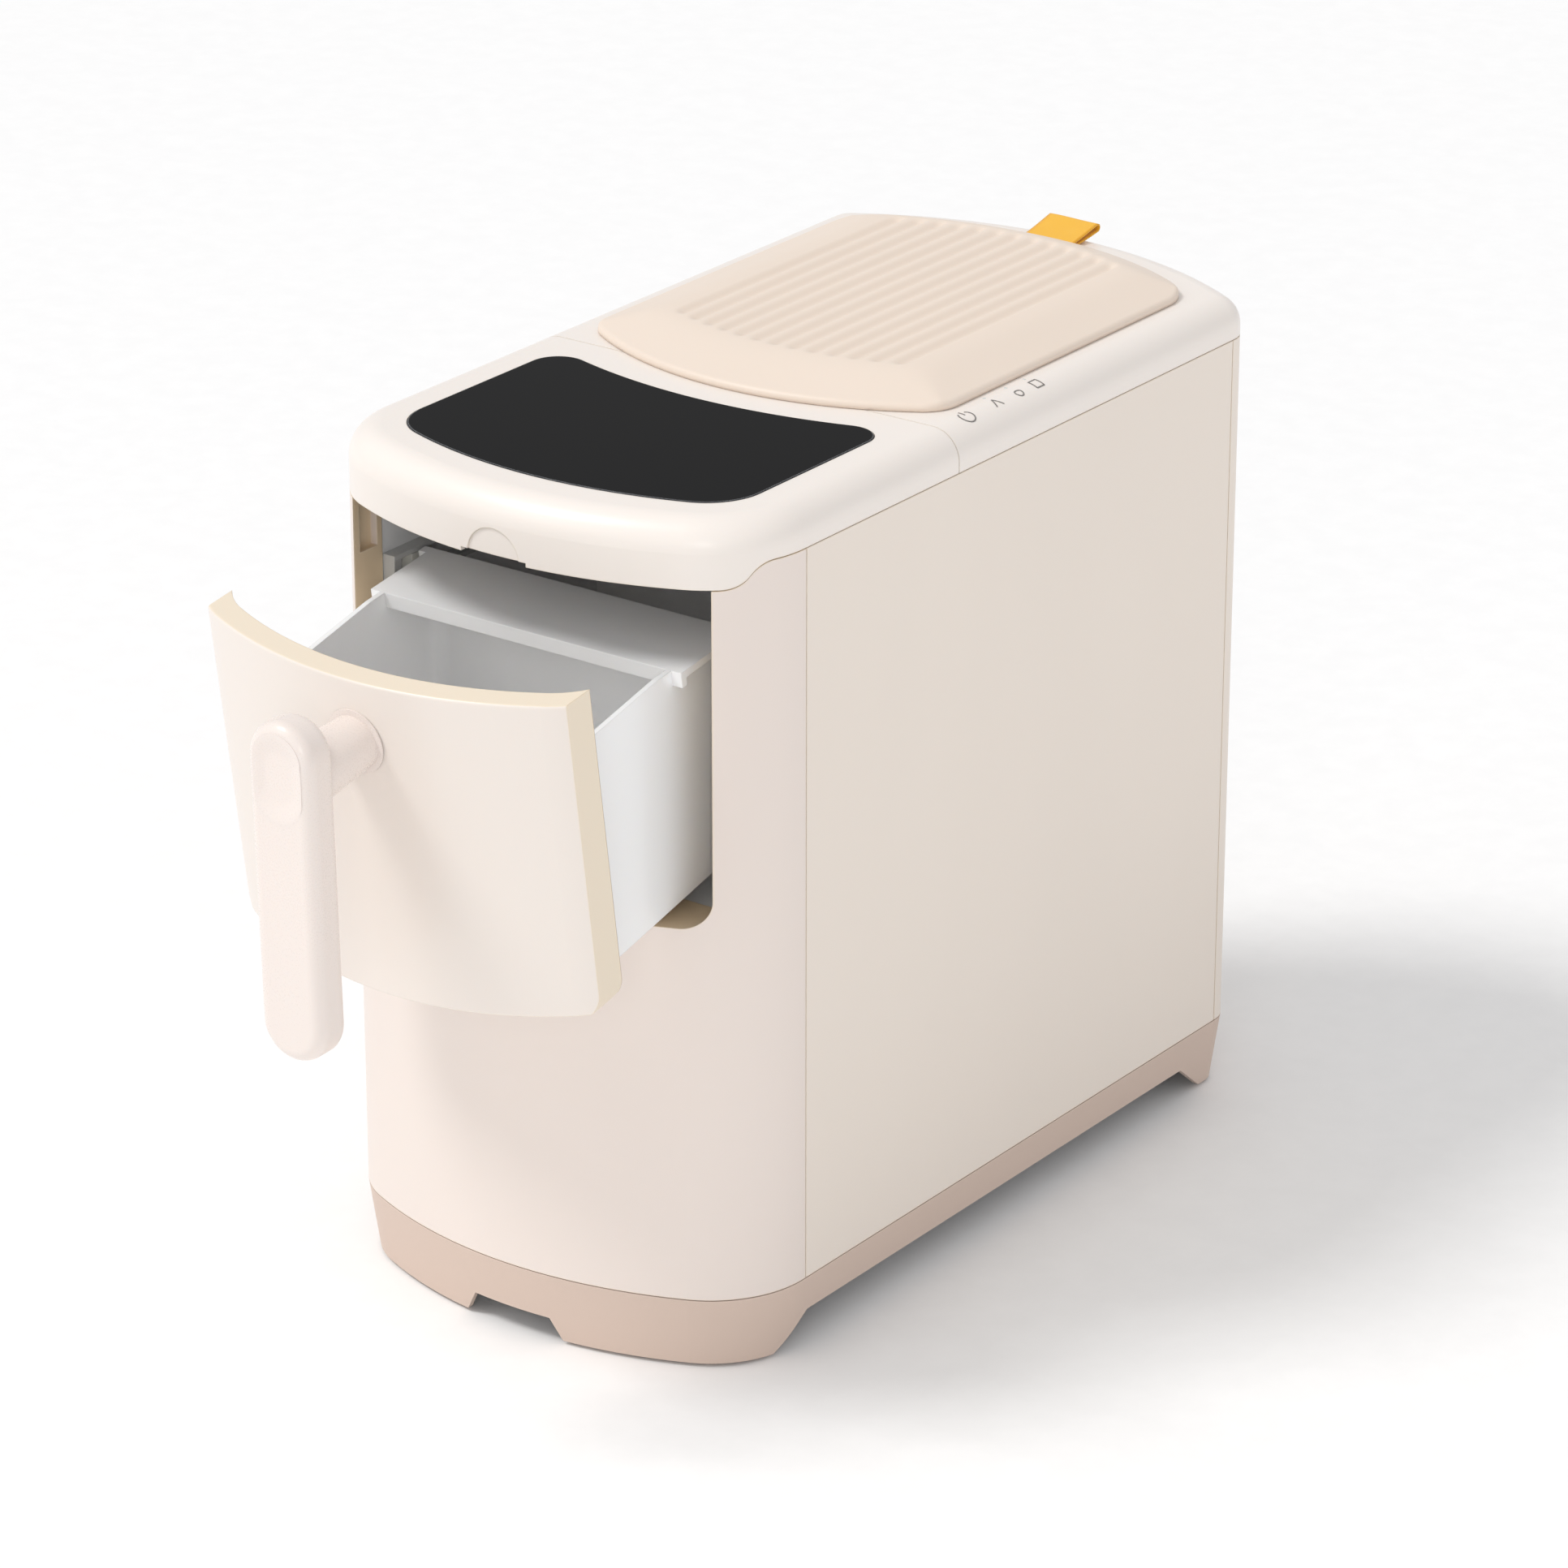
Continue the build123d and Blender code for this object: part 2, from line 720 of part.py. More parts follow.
def tank_lid():
    """Raised lid with sloping shoulders, a grooved top, and a plug wall that drops into the mouth."""
    low = TOP_Z + LID_LIFT
    rim = low + LID_RIM
    outer = prism(lid_face(0), low, rim)
    outer += loft([Pos(0, 0, rim) * lid_face(0), Pos(0, 0, LID_HIGH) * lid_face(LID_SHOULDER)])
    inner = loft(
        [
            Pos(0, 0, low - 1) * lid_face(LID_WALL),
            Pos(0, 0, LID_HIGH - LID_WALL) * lid_face(LID_SHOULDER + LID_WALL),
        ]
    )
    lid = outer - inner
    lid += prism(mouth_face(PLUG_GAP), PLUG_LOW, LID_HIGH - LID_WALL)
    lid -= prism(mouth_face(PLUG_GAP + PLUG_WALL), PLUG_LOW - 1, LID_HIGH - LID_WALL)
    first = -GROOVE_PITCH * (GROOVE_COUNT - 1) / 2
    for index in range(GROOVE_COUNT):
        x = first + index * GROOVE_PITCH
        front_y = LID_FRONT_Y + GROOVE_FRONT_INSET + bow_at(x, LID_FRONT_BOW)
        rear_y = LID_REAR_Y - GROOVE_REAR_INSET - bow_at(x, LID_REAR_BOW)
        lid -= rod("y", GROOVE_R, front_y, rear_y, x, LID_HIGH + GROOVE_R / 2)
    slot_half = TAB_HALF + SEAM
    slot_high = low + TAB_THICK + SEAM
    return lid - block(-slot_half, slot_half, TAB_ROOT_Y - SEAM, FAR, 0, slot_high)


def lid_gasket():
    """Soft ring round the lid's plug."""
    ring = prism(mouth_face(GASKET_GAP), GASKET_LOW, GASKET_HIGH)
    return ring - prism(mouth_face(PLUG_GAP), GASKET_LOW - 1, GASKET_HIGH + 1)


def pull_tab():
    """Folded ribbon tab that leaves the rear of the lid."""
    low = TOP_Z + LID_LIFT + SEAM / 2
    rise = TAB_TIP_Z - low
    profile = Polygon(
        (TAB_ROOT_Y, low),
        (TAB_EDGE_Y, low),
        (TAB_TIP_Y, low + rise - TAB_THICK),
        (TAB_TIP_Y, low + rise),
        (TAB_EDGE_Y, low + TAB_THICK),
        (TAB_ROOT_Y, low + TAB_THICK),
        align=None,
    )
    return extrude(Plane.YZ * profile, TAB_HALF, both=True)


# Drawer, in its closed place


def drawer_front():
    """Bowed plate with soft front edges that fills the opening, bored for the handle's screws."""
    plate = shell(PLATE_LOW, PLATE_HIGH, 0, PLATE_THICK) & zone(-FAR, FRONT_SEAM_Y)
    face = Pos(0, (PLATE_LOW + PLATE_HIGH) / 2) * Rectangle(2 * PLATE_HALF, PLATE_HIGH - PLATE_LOW)
    face = fillet(face.vertices().sort_by(Axis.Y)[:2], PLATE_CORNER_R)
    plate &= extrude(Plane.XZ * face, FAR)
    undercut = Polygon(
        (-BODY_HALF_DEPTH - 1, PLATE_LOW),
        (FRONT_SEAM_Y, PLATE_LOW),
        (FRONT_SEAM_Y, PLATE_LOW + UNDERCUT_RISE),
        align=None,
    )
    plate -= extrude(Plane.YZ * undercut, FAR, both=True)
    front_face = plate.faces().sort_by(lambda f: -f.area)[0]
    plate = fillet(front_face.edges(), PLATE_EDGE_R)
    for z in screw_heights():
        plate -= rod("y", SCREW_R + SEAM / 2, -FAR, 0, 0, z)
        plate -= rod("y", SCREW_HEAD_R + SEAM, plate_inner_y() - SCREW_HEAD - SEAM, 0, 0, z)
    return in_drawer_pose(plate)


def plate_inner_y():
    """Y of the plate's rear face on the middle plane, drawer closed."""
    return -BODY_HALF_DEPTH + PLATE_THICK


def screw_heights():
    """Heights of the two handle screws, drawer closed."""
    return (STEM_Z - SCREW_SPACING / 2, STEM_Z + SCREW_SPACING / 2)


def bin_blank(inset, floor_z, rim_z):
    """Solid bin shape: bowed front, leaning rear, floor and rim both falling to the front."""
    half = BIN_HALF - inset
    tall = prism(plan(PLATE_THICK + SEAM / 2 + inset), 0, FAR) & block(-half, half, -FAR, 0, 0, FAR)
    run = FAR / 2
    fall = run * math.tan(math.radians(BIN_SLOPE))
    side = Polygon(
        (BIN_RIM_Y - run, floor_z - fall),
        (BIN_RIM_Y + run, floor_z + fall),
        (BIN_RIM_Y + run, rim_z + fall),
        (BIN_RIM_Y - run, rim_z - fall),
        align=None,
    )
    tall &= extrude(Plane.YZ * side, FAR, both=True)
    tall &= extrude(Plane.YZ * bin_profile(inset), FAR, both=True)
    rear = tall.edges().filter_by(lambda e: e.center().Y > LEDGE_FRONT_Y and e.length > BIN_REAR_EDGE_MIN)
    upright = rear.filter_by(lambda e: abs(abs(e.center().X) - half) < SEAM)
    return fillet(upright, BIN_CORNER_R - inset)


def bin_rear_y(z):
    """Y of the bin's leaning rear wall at a given height, drawer closed."""
    return BIN_REAR_LOW_Y + (z - BIN_FLOOR_Z) * math.tan(math.radians(BIN_REAR_DRAFT))


def bin_profile(inset):
    """Side view in front of the bin's leaning rear wall."""
    step = inset / math.cos(math.radians(BIN_REAR_DRAFT))
    return Polygon(
        (-FAR, 0),
        (bin_rear_y(0) - step, 0),
        (bin_rear_y(FAR) - step, FAR),
        (-FAR, FAR),
        align=None,
    )


def ice_bin():
    """White bin with a rear ledge that ends in the tipping knuckle."""
    high = LEDGE_LOW + LEDGE_THICK
    tub = bin_blank(0, BIN_FLOOR_Z, BIN_RIM_Z)
    tub -= bin_blank(BIN_WALL, BIN_FLOOR_Z + BIN_WALL, FAR)
    tub &= block(-FAR, FAR, -FAR, FAR, 0, high)
    ledge = block(-LEDGE_WING, LEDGE_WING, LEDGE_FRONT_Y, PIVOT_Y, LEDGE_LOW, high)
    ledge += block(-LEDGE_HALF, LEDGE_HALF, PIVOT_Y - KNUCKLE_R, PIVOT_Y, PIVOT_Z, high)
    lip_y = LEDGE_FRONT_Y + LEDGE_THICK
    ledge += block(-LEDGE_WING, LEDGE_WING, LEDGE_FRONT_Y, lip_y, LEDGE_LOW - LEDGE_LIP, high)
    knuckle = rod("x", KNUCKLE_R, -LEDGE_HALF, LEDGE_HALF, PIVOT_Y, PIVOT_Z)
    rear_high_y = bin_rear_y(LEDGE_LOW) - BIN_WALL / 2
    gusset = Polygon(
        (rear_high_y, LEDGE_LOW + RIB_LAP),
        (PIVOT_Y, LEDGE_LOW + RIB_LAP),
        (bin_rear_y(LEDGE_LOW - RIB_DROP) - BIN_WALL / 2, LEDGE_LOW - RIB_DROP),
        align=None,
    )
    rib = extrude(Plane.YZ * gusset, BIN_WALL / 2, both=True)
    tub += ledge + knuckle
    for x in (-BIN_HALF / 2, BIN_HALF / 2):
        tub += Pos(x, 0, 0) * rib
    tub -= rod("x", BORE_R, -FAR, FAR, PIVOT_Y, PIVOT_Z)
    return in_drawer_pose(tub)


def handle_stem():
    """Stem with a thin collar against the plate, widening to the grip."""
    length = STEM_LAP - grip_back_y() - BODY_HALF_DEPTH
    cone = Cone(STEM_ROOT_R, STEM_GRIP_R, length, align=(Align.CENTER, Align.CENTER, Align.MIN))
    stem = Pos(0, -BODY_HALF_DEPTH, STEM_Z) * Rot(90, 0, 0) * cone
    stem += rod("y", STEM_COLLAR_R, -BODY_HALF_DEPTH - STEM_COLLAR, -BODY_HALF_DEPTH, 0, STEM_Z)
    stem -= grip_blank()
    stem -= prism(plan(), 0, FAR)
    for z in screw_heights():
        stem -= rod("y", SCREW_R, plate_inner_y() - SCREW_LENGTH, 0, 0, z)
    return in_drawer_pose(stem)


def grip_back_y():
    """Y of the grip's rear face at the stem, drawer closed."""
    drop = GRIP_TOP_Z - STEM_Z
    return GRIP_TOP_Y - drop * math.tan(math.radians(GRIP_RAKE)) + GRIP_THICK / 2


def grip_blank():
    """Flat bar with round ends and soft edges, raked outwards at the foot."""
    bar = extrude(stadium(GRIP_WIDTH, GRIP_LENGTH), GRIP_THICK / 2, both=True)
    bar = fillet(bar.faces().filter_by(Axis.Y).edges(), GRIP_EDGE_R)
    return grip_place() * bar


def grip_place():
    """Location of the grip's centre, drawer closed."""
    half = GRIP_LENGTH / 2
    rake = math.radians(GRIP_RAKE)
    centre = Pos(0, GRIP_TOP_Y - half * math.sin(rake), GRIP_TOP_Z - half * math.cos(rake))
    return centre * Rot(-GRIP_RAKE, 0, 0)


def pad_blank(grow, depth, thick):
    """Thumb pad shape below the grip's front face."""
    pad = extrude(stadium(PAD_WIDTH + 2 * grow, PAD_LENGTH + 2 * grow), thick)
    lift = GRIP_LENGTH / 2 - PAD_DROP
    return grip_place() * Pos(0, -GRIP_THICK / 2 + depth, lift) * pad


def handle_grip():
    """Upright grip with a recess for the thumb pad."""
    return in_drawer_pose(grip_blank() - pad_blank(0, PAD_RECESS, GRIP_THICK))


def thumb_pad():
    """Oval pad let into the grip."""
    return in_drawer_pose(pad_blank(-PAD_GAP, PAD_RECESS, PAD_THICK))


def handle_screws():
    """Two screws from inside the plate into the stem."""
    head_y = plate_inner_y() - SCREW_HEAD
    screws = []
    for z in screw_heights():
        screw = rod("y", SCREW_HEAD_R, head_y, head_y + SCREW_HEAD, 0, z)
        screw += rod("y", SCREW_R - SCREW_PLAY, plate_inner_y() - SCREW_LENGTH + 1, head_y, 0, z)
        screws.append(in_drawer_pose(screw))
    return Compound(screws)


# Drawer carriage


def tip_shaft():
    """Steel shaft that the drawer tips on."""
    return Pos(0, -DRAWER_OUT, 0) * rod("x", SHAFT_R, -SHAFT_HALF, SHAFT_HALF, PIVOT_Y, PIVOT_Z)


def guide_shoes():
    """Two sliding shoes, one in each rail, on the ends of the shaft."""
    shoes = []
    for side in (-1, 1):
        low_x, high_x = sorted((side * SHOE_INNER_X, side * SHOE_OUTER_X))
        shoe = block(
            low_x,
            high_x,
            PIVOT_Y - SHOE_HALF_LEN,
            PIVOT_Y + SHOE_HALF_LEN,
            PIVOT_Z - SHOE_HALF_H,
            PIVOT_Z + SHOE_HALF_H,
        )
        shoe -= rod("x", SHAFT_R, -SHAFT_HALF, SHAFT_HALF, PIVOT_Y, PIVOT_Z)
        shoes.append(Pos(0, -DRAWER_OUT, 0) * shoe)
    return Compound(shoes)


def drawer_rails():
    """A channel on each chamber wall, closed at its front end."""
    rails = []
    reach = SHOE_HALF_H + RAIL_GAP
    for side in (-1, 1):
        low_x, high_x = sorted((side * RAIL_INNER_X, side * LINER_HALF))
        low_z = PIVOT_Z - reach - RAIL_FLANGE
        high_z = PIVOT_Z + reach + RAIL_FLANGE
        rail = block(low_x, high_x, RAIL_FRONT_Y, RAIL_REAR_Y, low_z, high_z)
        stop_y = RAIL_FRONT_Y + RAIL_GAP
        rails.append(rail - block(low_x, high_x, stop_y, FAR, PIVOT_Z - reach, PIVOT_Z + reach))
    return Compound(rails)


# Ice chamber


def inner_liner():
    """White chamber: floor, two sides and a low rear wall, open to the drawer and to the ice unit."""
    half = LINER_HALF + LINER_WALL
    front_y = SURROUND_REAR_Y + SEAM
    liner = block(-half, half, front_y, LINER_REAR_Y, LINER_FLOOR, LINER_HIGH)
    inner_rear = LINER_REAR_Y - LINER_WALL
    liner -= block(-LINER_HALF, LINER_HALF, -FAR, inner_rear, LINER_FLOOR + LINER_WALL, FAR)
    return liner - block(-LINER_HALF, LINER_HALF, inner_rear - 1, FAR, REAR_WALL_HIGH, FAR)


def chamber_foam():
    """Foam slab outside each chamber wall."""
    slabs = []
    inner = LINER_HALF + LINER_WALL + SEAM
    for side in (-1, 1):
        low_x, high_x = sorted((side * inner, side * (inner + FOAM_THICK)))
        slabs.append(block(low_x, high_x, FRONT_SEAM_Y + 2, LINER_REAR_Y, DECK_LOW + DECK_THICK, LINER_HIGH))
    return Compound(slabs)


def ice_trough():
    """Round trough that the tray sweeps, with a lip that feeds the bin's ledge and a drain slot."""
    outer_r = TROUGH_R + TROUGH_THICK
    ring = rod("x", outer_r, -TROUGH_HALF, TROUGH_HALF, TRAY_PIVOT_Y, TRAY_PIVOT_Z)
    ring -= rod("x", TROUGH_R, -FAR, FAR, TRAY_PIVOT_Y, TRAY_PIVOT_Z)
    ring &= block(-FAR, FAR, -FAR, TRAY_PIVOT_Y, 0, TROUGH_LIP_Z)
    lip_rear_y = TRAY_PIVOT_Y - math.sqrt(TROUGH_R**2 - (TRAY_PIVOT_Z - TROUGH_LIP_Z) ** 2)
    lip_low = TROUGH_LIP_Z - TROUGH_THICK
    lip = block(-TROUGH_HALF, TROUGH_HALF, TROUGH_LIP_Y, lip_rear_y - SEAM, lip_low, TROUGH_LIP_Z)
    ring += lip - rod("x", TROUGH_R, -FAR, FAR, TRAY_PIVOT_Y, TRAY_PIVOT_Z)
    slot_high = TRAY_PIVOT_Z - TROUGH_R / 2
    return ring - block(-TROUGH_HALF / 2, TROUGH_HALF / 2, SLOT_FRONT_Y, SLOT_REAR_Y, 0, slot_high)


def ice_sensors():
    """Emitter and receiver that watch the level of ice, one on each side of the unit's mouth."""
    face_y = COVER_FRONT_Y - SENSOR_DEEP
    lens_z = (SENSOR_LOW + SENSOR_HIGH) / 2
    pods = []
    for x in (-SENSOR_X, SENSOR_X):
        pod = block(x - SENSOR_HALF, x + SENSOR_HALF, face_y, COVER_FRONT_Y, SENSOR_LOW, SENSOR_HIGH)
        pods.append(pod + rod("y", LENS_R, face_y - LENS_DEEP, face_y, x, lens_z))
    return Compound(pods)


# Ice making unit


def unit_cover():
    """Grey housing over the ice unit, open below."""
    outer = block(-COVER_HALF, COVER_HALF, COVER_FRONT_Y, COVER_REAR_Y, COVER_LOW, COVER_HIGH)
    outer = fillet(outer.edges().filter_by(Axis.Z), COVER_CORNER_R)
    inner = block(
        -COVER_HALF + WALL,
        COVER_HALF - WALL,
        COVER_FRONT_Y + WALL,
        COVER_REAR_Y - WALL,
        COVER_LOW - 1,
        COVER_HIGH - WALL,
    )
    cover = outer - fillet(inner.edges().filter_by(Axis.Z), COVER_INNER_R)
    return cover - block(-EXIT_HALF, EXIT_HALF, -FAR, 0, 0, EXIT_HIGH)


def evaporator():
    """Cold plate with a grid of round fingers that the ice grows on."""
    plate = block(-EVAP_HALF, EVAP_HALF, EVAP_FRONT_Y, EVAP_REAR_Y, EVAP_LOW, EVAP_HIGH)
    middle_y = (EVAP_FRONT_Y + EVAP_REAR_Y) / 2
    for row in range(FINGER_ROWS):
        for column in range(FINGER_COLUMNS):
            x = (column - (FINGER_COLUMNS - 1) / 2) * FINGER_PITCH_X
            y = middle_y + (row - (FINGER_ROWS - 1) / 2) * FINGER_PITCH_Y
            finger = rod("z", FINGER_R, FINGER_LOW, EVAP_LOW, x, y)
            plate += fillet(finger.faces().sort_by(Axis.Z)[0].edges(), FINGER_R * FINGER_TIP)
    for x in (-EVAP_HALF + POST_INSET, EVAP_HALF - POST_INSET):
        for y in (EVAP_FRONT_Y + POST_INSET, EVAP_REAR_Y - POST_INSET):
            plate += rod("z", POST_R, EVAP_HIGH, COVER_HIGH - WALL, x, y)
    return plate


def water_tray():
    """Tray that the fingers stand in; it tips about its rear shaft to drop the ice."""
    tray = block(-TRAY_HALF, TRAY_HALF, TRAY_FRONT_Y, TRAY_REAR_Y, TRAY_LOW, TRAY_HIGH)
    tray -= block(
        -TRAY_HALF + TRAY_WALL,
        TRAY_HALF - TRAY_WALL,
        TRAY_FRONT_Y + TRAY_WALL,
        TRAY_REAR_Y - TRAY_WALL,
        TRAY_LOW + TRAY_WALL,
        FAR,
    )
    ear_low = TRAY_PIVOT_Z - EAR_R
    ear_high = TRAY_PIVOT_Z + EAR_R
    for side in (-1, 1):
        low_x, high_x = sorted((side * TRAY_HALF, side * (TRAY_HALF - EAR_WIDTH)))
        tray += block(low_x, high_x, TRAY_REAR_Y, TRAY_PIVOT_Y, ear_low, ear_high)
        tray += rod("x", EAR_R, low_x, high_x, TRAY_PIVOT_Y, TRAY_PIVOT_Z)
    return tray - rod("x", TRAY_SHAFT_R, -FAR, FAR, TRAY_PIVOT_Y, TRAY_PIVOT_Z)


def tray_shaft():
    """Shaft pressed through the tray's ears, turned by the motor."""
    return rod("x", TRAY_SHAFT_R, -TRAY_SHAFT_END, MOTOR_X0 - SEAM, TRAY_PIVOT_Y, TRAY_PIVOT_Z)


def tray_motor():
    """Gear motor that tips the tray."""
    motor = rod("x", MOTOR_R, MOTOR_X0, MOTOR_X1, MOTOR_Y, MOTOR_Z)
    return motor & block(0, FAR, -FAR, COVER_REAR_Y - WALL - SEAM, 0, COVER_HIGH - WALL - SEAM)


def tray_brackets():
    """Two hanging plates that carry the tray's shaft."""
    front_y = TRAY_PIVOT_Y - BRACKET_HALF
    rear_y = TRAY_PIVOT_Y + BRACKET_HALF
    low_z = TRAY_PIVOT_Z - BRACKET_HALF
    plates = []
    for side in (-1, 1):
        low_x, high_x = sorted((side * BRACKET_X0, side * BRACKET_X1))
        plate = block(low_x, high_x, front_y, rear_y, low_z, COVER_HIGH - WALL)
        plates.append(plate - rod("x", TRAY_SHAFT_R + SHAFT_PLAY, -FAR, FAR, TRAY_PIVOT_Y, TRAY_PIVOT_Z))
    return Compound(plates)


# Water


def water_tank():
    """Open tank under the lid, on four short legs."""
    width = 2 * TANK_HALF
    depth = TANK_REAR_Y - TANK_FRONT_Y
    centre = Pos(0, (TANK_REAR_Y + TANK_FRONT_Y) / 2)
    outer = prism(centre * RectangleRounded(width, depth, TANK_R), TANK_LOW, TANK_HIGH)
    inner_face = RectangleRounded(width - 2 * TANK_WALL, depth - 2 * TANK_WALL, TANK_R - TANK_WALL)
    tank = outer - prism(centre * inner_face, TANK_LOW + TANK_WALL, FAR)
    for x in (-TANK_HALF / 2, TANK_HALF / 2):
        for y in (TANK_FRONT_Y + TANK_LEG_INSET, TANK_REAR_Y - TANK_LEG_INSET):
            tank += rod("z", TANK_LEG_R, DECK_LOW + DECK_THICK, TANK_LOW, x, y)
    return tank


def tank_filter():
    """Strainer cap on the tank's floor, over the pump's outlet."""
    y = (TANK_FRONT_Y + TANK_REAR_Y) / 2
    low = TANK_LOW + TANK_WALL
    cap = rod("z", FILTER_R, low, low + FILTER_H, 0, y)
    reach = FILTER_RING * FILTER_R
    for index in range(FILTER_HOLES):
        angle = 2 * math.pi * index / FILTER_HOLES
        x = reach * math.cos(angle)
        cap -= rod("z", FILTER_HOLE_R, 0, FAR, x, y + reach * math.sin(angle))
    return cap


def water_pump():
    """Small pump on the deck, with its outlet stub."""
    low = DECK_LOW + DECK_THICK
    pump = rod("z", PUMP_R, low, low + PUMP_BODY_H, PUMP_X, 0)
    pump += rod("z", PUMP_NECK_R, low + PUMP_BODY_H, low + PUMP_NECK_H, PUMP_X, 0)
    return pump + rod("z", HOSE_R, low + PUMP_NECK_H, low + PUMP_H, PUMP_X, 0)


def feed_pipe():
    """Pipe from the tank's foot to the pump."""
    return rod("y", FEED_R, PUMP_R, TANK_FRONT_Y, FEED_X, FEED_Z)


def pump_hose():
    """Hose from the pump up and over the tray's edge."""
    low = DECK_LOW + DECK_THICK + PUMP_H
    end_x = TRAY_HALF - HOSE_END_INSET
    points = [(PUMP_X, 0, low), (PUMP_X, 0, HOSE_TOP_Z), (end_x, 0, HOSE_TOP_Z)]
    return pipe(points, HOSE_BEND, HOSE_R)


def drain_pipe():
    """Pipe from the tank's floor down to the drain spout."""
    points = [
        (DRAIN_X, DRAIN_PIPE_Y, TANK_LOW),
        (DRAIN_X, DRAIN_PIPE_Y, DRAIN_Z),
        (DRAIN_X, DRAIN_INNER_Y, DRAIN_Z),
    ]
    return pipe(points, 2 * DRAIN_PIPE_R, DRAIN_PIPE_R)


def drain_spout():
    """Drain pipe through the rear panel."""
    spout = rod("y", DRAIN_R, DRAIN_INNER_Y, DRAIN_FACE_Y, DRAIN_X, DRAIN_Z)
    return spout - rod("y", DRAIN_BORE_R, 0, FAR, DRAIN_X, DRAIN_Z)


def drain_plug():
    """Rubber plug with a grip rim, pushed into the drain spout."""
    face_y = DRAIN_FACE_Y + SEAM
    plug = rod("y", DRAIN_BORE_R - PLUG_PLAY, face_y - PLUG_LENGTH, face_y, DRAIN_X, DRAIN_Z)
    return plug + rod("y", DRAIN_R - PLUG_RIM, face_y, face_y + PLUG_HEAD, DRAIN_X, DRAIN_Z)


# Cooling unit


def compressor():
    """Hermetic compressor: domed can on a footed plate, with a terminal box."""
    high = COMPRESSOR_LOW + COMPRESSOR_H
    can = rod("z", COMPRESSOR_R, COMPRESSOR_LOW, high, COMPRESSOR_X, COMPRESSOR_Y)
    can = fillet(can.faces().sort_by(Axis.Z)[-1].edges(), CAN_TOP_R)
    can = fillet(can.faces().sort_by(Axis.Z)[0].edges(), CAN_FOOT_R)
    can += block(
        COMPRESSOR_X - SOLE_HALF_X,
        COMPRESSOR_X + SOLE_HALF_X,
        COMPRESSOR_Y - SOLE_HALF_Y,
        COMPRESSOR_Y + SOLE_HALF_Y,
        COMPRESSOR_LOW,
        COMPRESSOR_LOW + SOLE_THICK,
    )
    box_x = COMPRESSOR_X + COMPRESSOR_R - TERMINAL_LAP
    front_y = COMPRESSOR_Y - TERMINAL_HALF
    rear_y = COMPRESSOR_Y + TERMINAL_HALF
    return can + block(
        box_x, box_x + TERMINAL_LAP + TERMINAL_DEEP, front_y, rear_y, TERMINAL_LOW, TERMINAL_HIGH
    )


def compressor_mounts():
    """Four rubber mounts between the base plate and the compressor's foot."""
    mounts = []
    for x in (COMPRESSOR_X - MOUNT_X, COMPRESSOR_X + MOUNT_X):
        for y in (COMPRESSOR_Y - MOUNT_Y, COMPRESSOR_Y + MOUNT_Y):
            mounts.append(rod("z", MOUNT_R, BASE_LOW + BASE_THICK, COMPRESSOR_LOW, x, y))
    return Compound(mounts)


def condenser():
    """Finned condenser on a foot."""
    half = CONDENSER_HALF
    core_low = CONDENSER_LOW + CORE_MARGIN
    core_high = CONDENSER_HIGH - CORE_MARGIN
    front_y = CONDENSER_FRONT_Y + CORE_INSET
    rear_y = CONDENSER_REAR_Y - CORE_INSET
    core = block(-half, half, front_y, rear_y, core_low, core_high)
    fin = block(
        -FIN_THICK / 2, FIN_THICK / 2, CONDENSER_FRONT_Y, CONDENSER_REAR_Y, CONDENSER_LOW, CONDENSER_HIGH
    )
    count = int(2 * half / FIN_PITCH)
    for index in range(count + 1):
        core += Pos(index * FIN_PITCH - half, 0, 0) * fin
    return core + block(-half, half, front_y, rear_y, BASE_LOW + BASE_THICK, core_low + CORE_LAP)


def fan_frame():
    """Square fan frame with a round duct and a motor spider."""
    frame = block(-FAN_HALF, FAN_HALF, FAN_FRONT_Y, FAN_REAR_Y, FAN_Z - FAN_HALF, FAN_Z + FAN_HALF)
    frame = fillet(frame.edges().filter_by(Axis.Y), FAN_CORNER_R)
    frame -= rod("y", FAN_BORE_R, 0, FAR, 0, FAN_Z)
    spider_y = FAN_FRONT_Y + SPIDER_THICK
    reach = FAN_HALF - 1
    wide = SPIDER_HALF
    frame += block(-reach, reach, FAN_FRONT_Y, spider_y, FAN_Z - wide, FAN_Z + wide)
    frame += block(-wide, wide, FAN_FRONT_Y, spider_y, FAN_Z - reach, FAN_Z + reach)
    frame += rod("y", FAN_HUB_R, FAN_FRONT_Y, spider_y, 0, FAN_Z)
    stand_front_y = FAN_FRONT_Y + FAN_CLEAR
    stand_rear_y = FAN_REAR_Y - FAN_CLEAR
    stand_low = BASE_LOW + BASE_THICK
    stand = FAN_STAND_HALF
    frame += block(-stand, stand, stand_front_y, stand_rear_y, stand_low, FAN_Z - FAN_BORE_R)
    return frame + rod("y", SPINDLE_R, spider_y, FAN_FRONT_Y + SPINDLE_LENGTH, 0, FAN_Z)


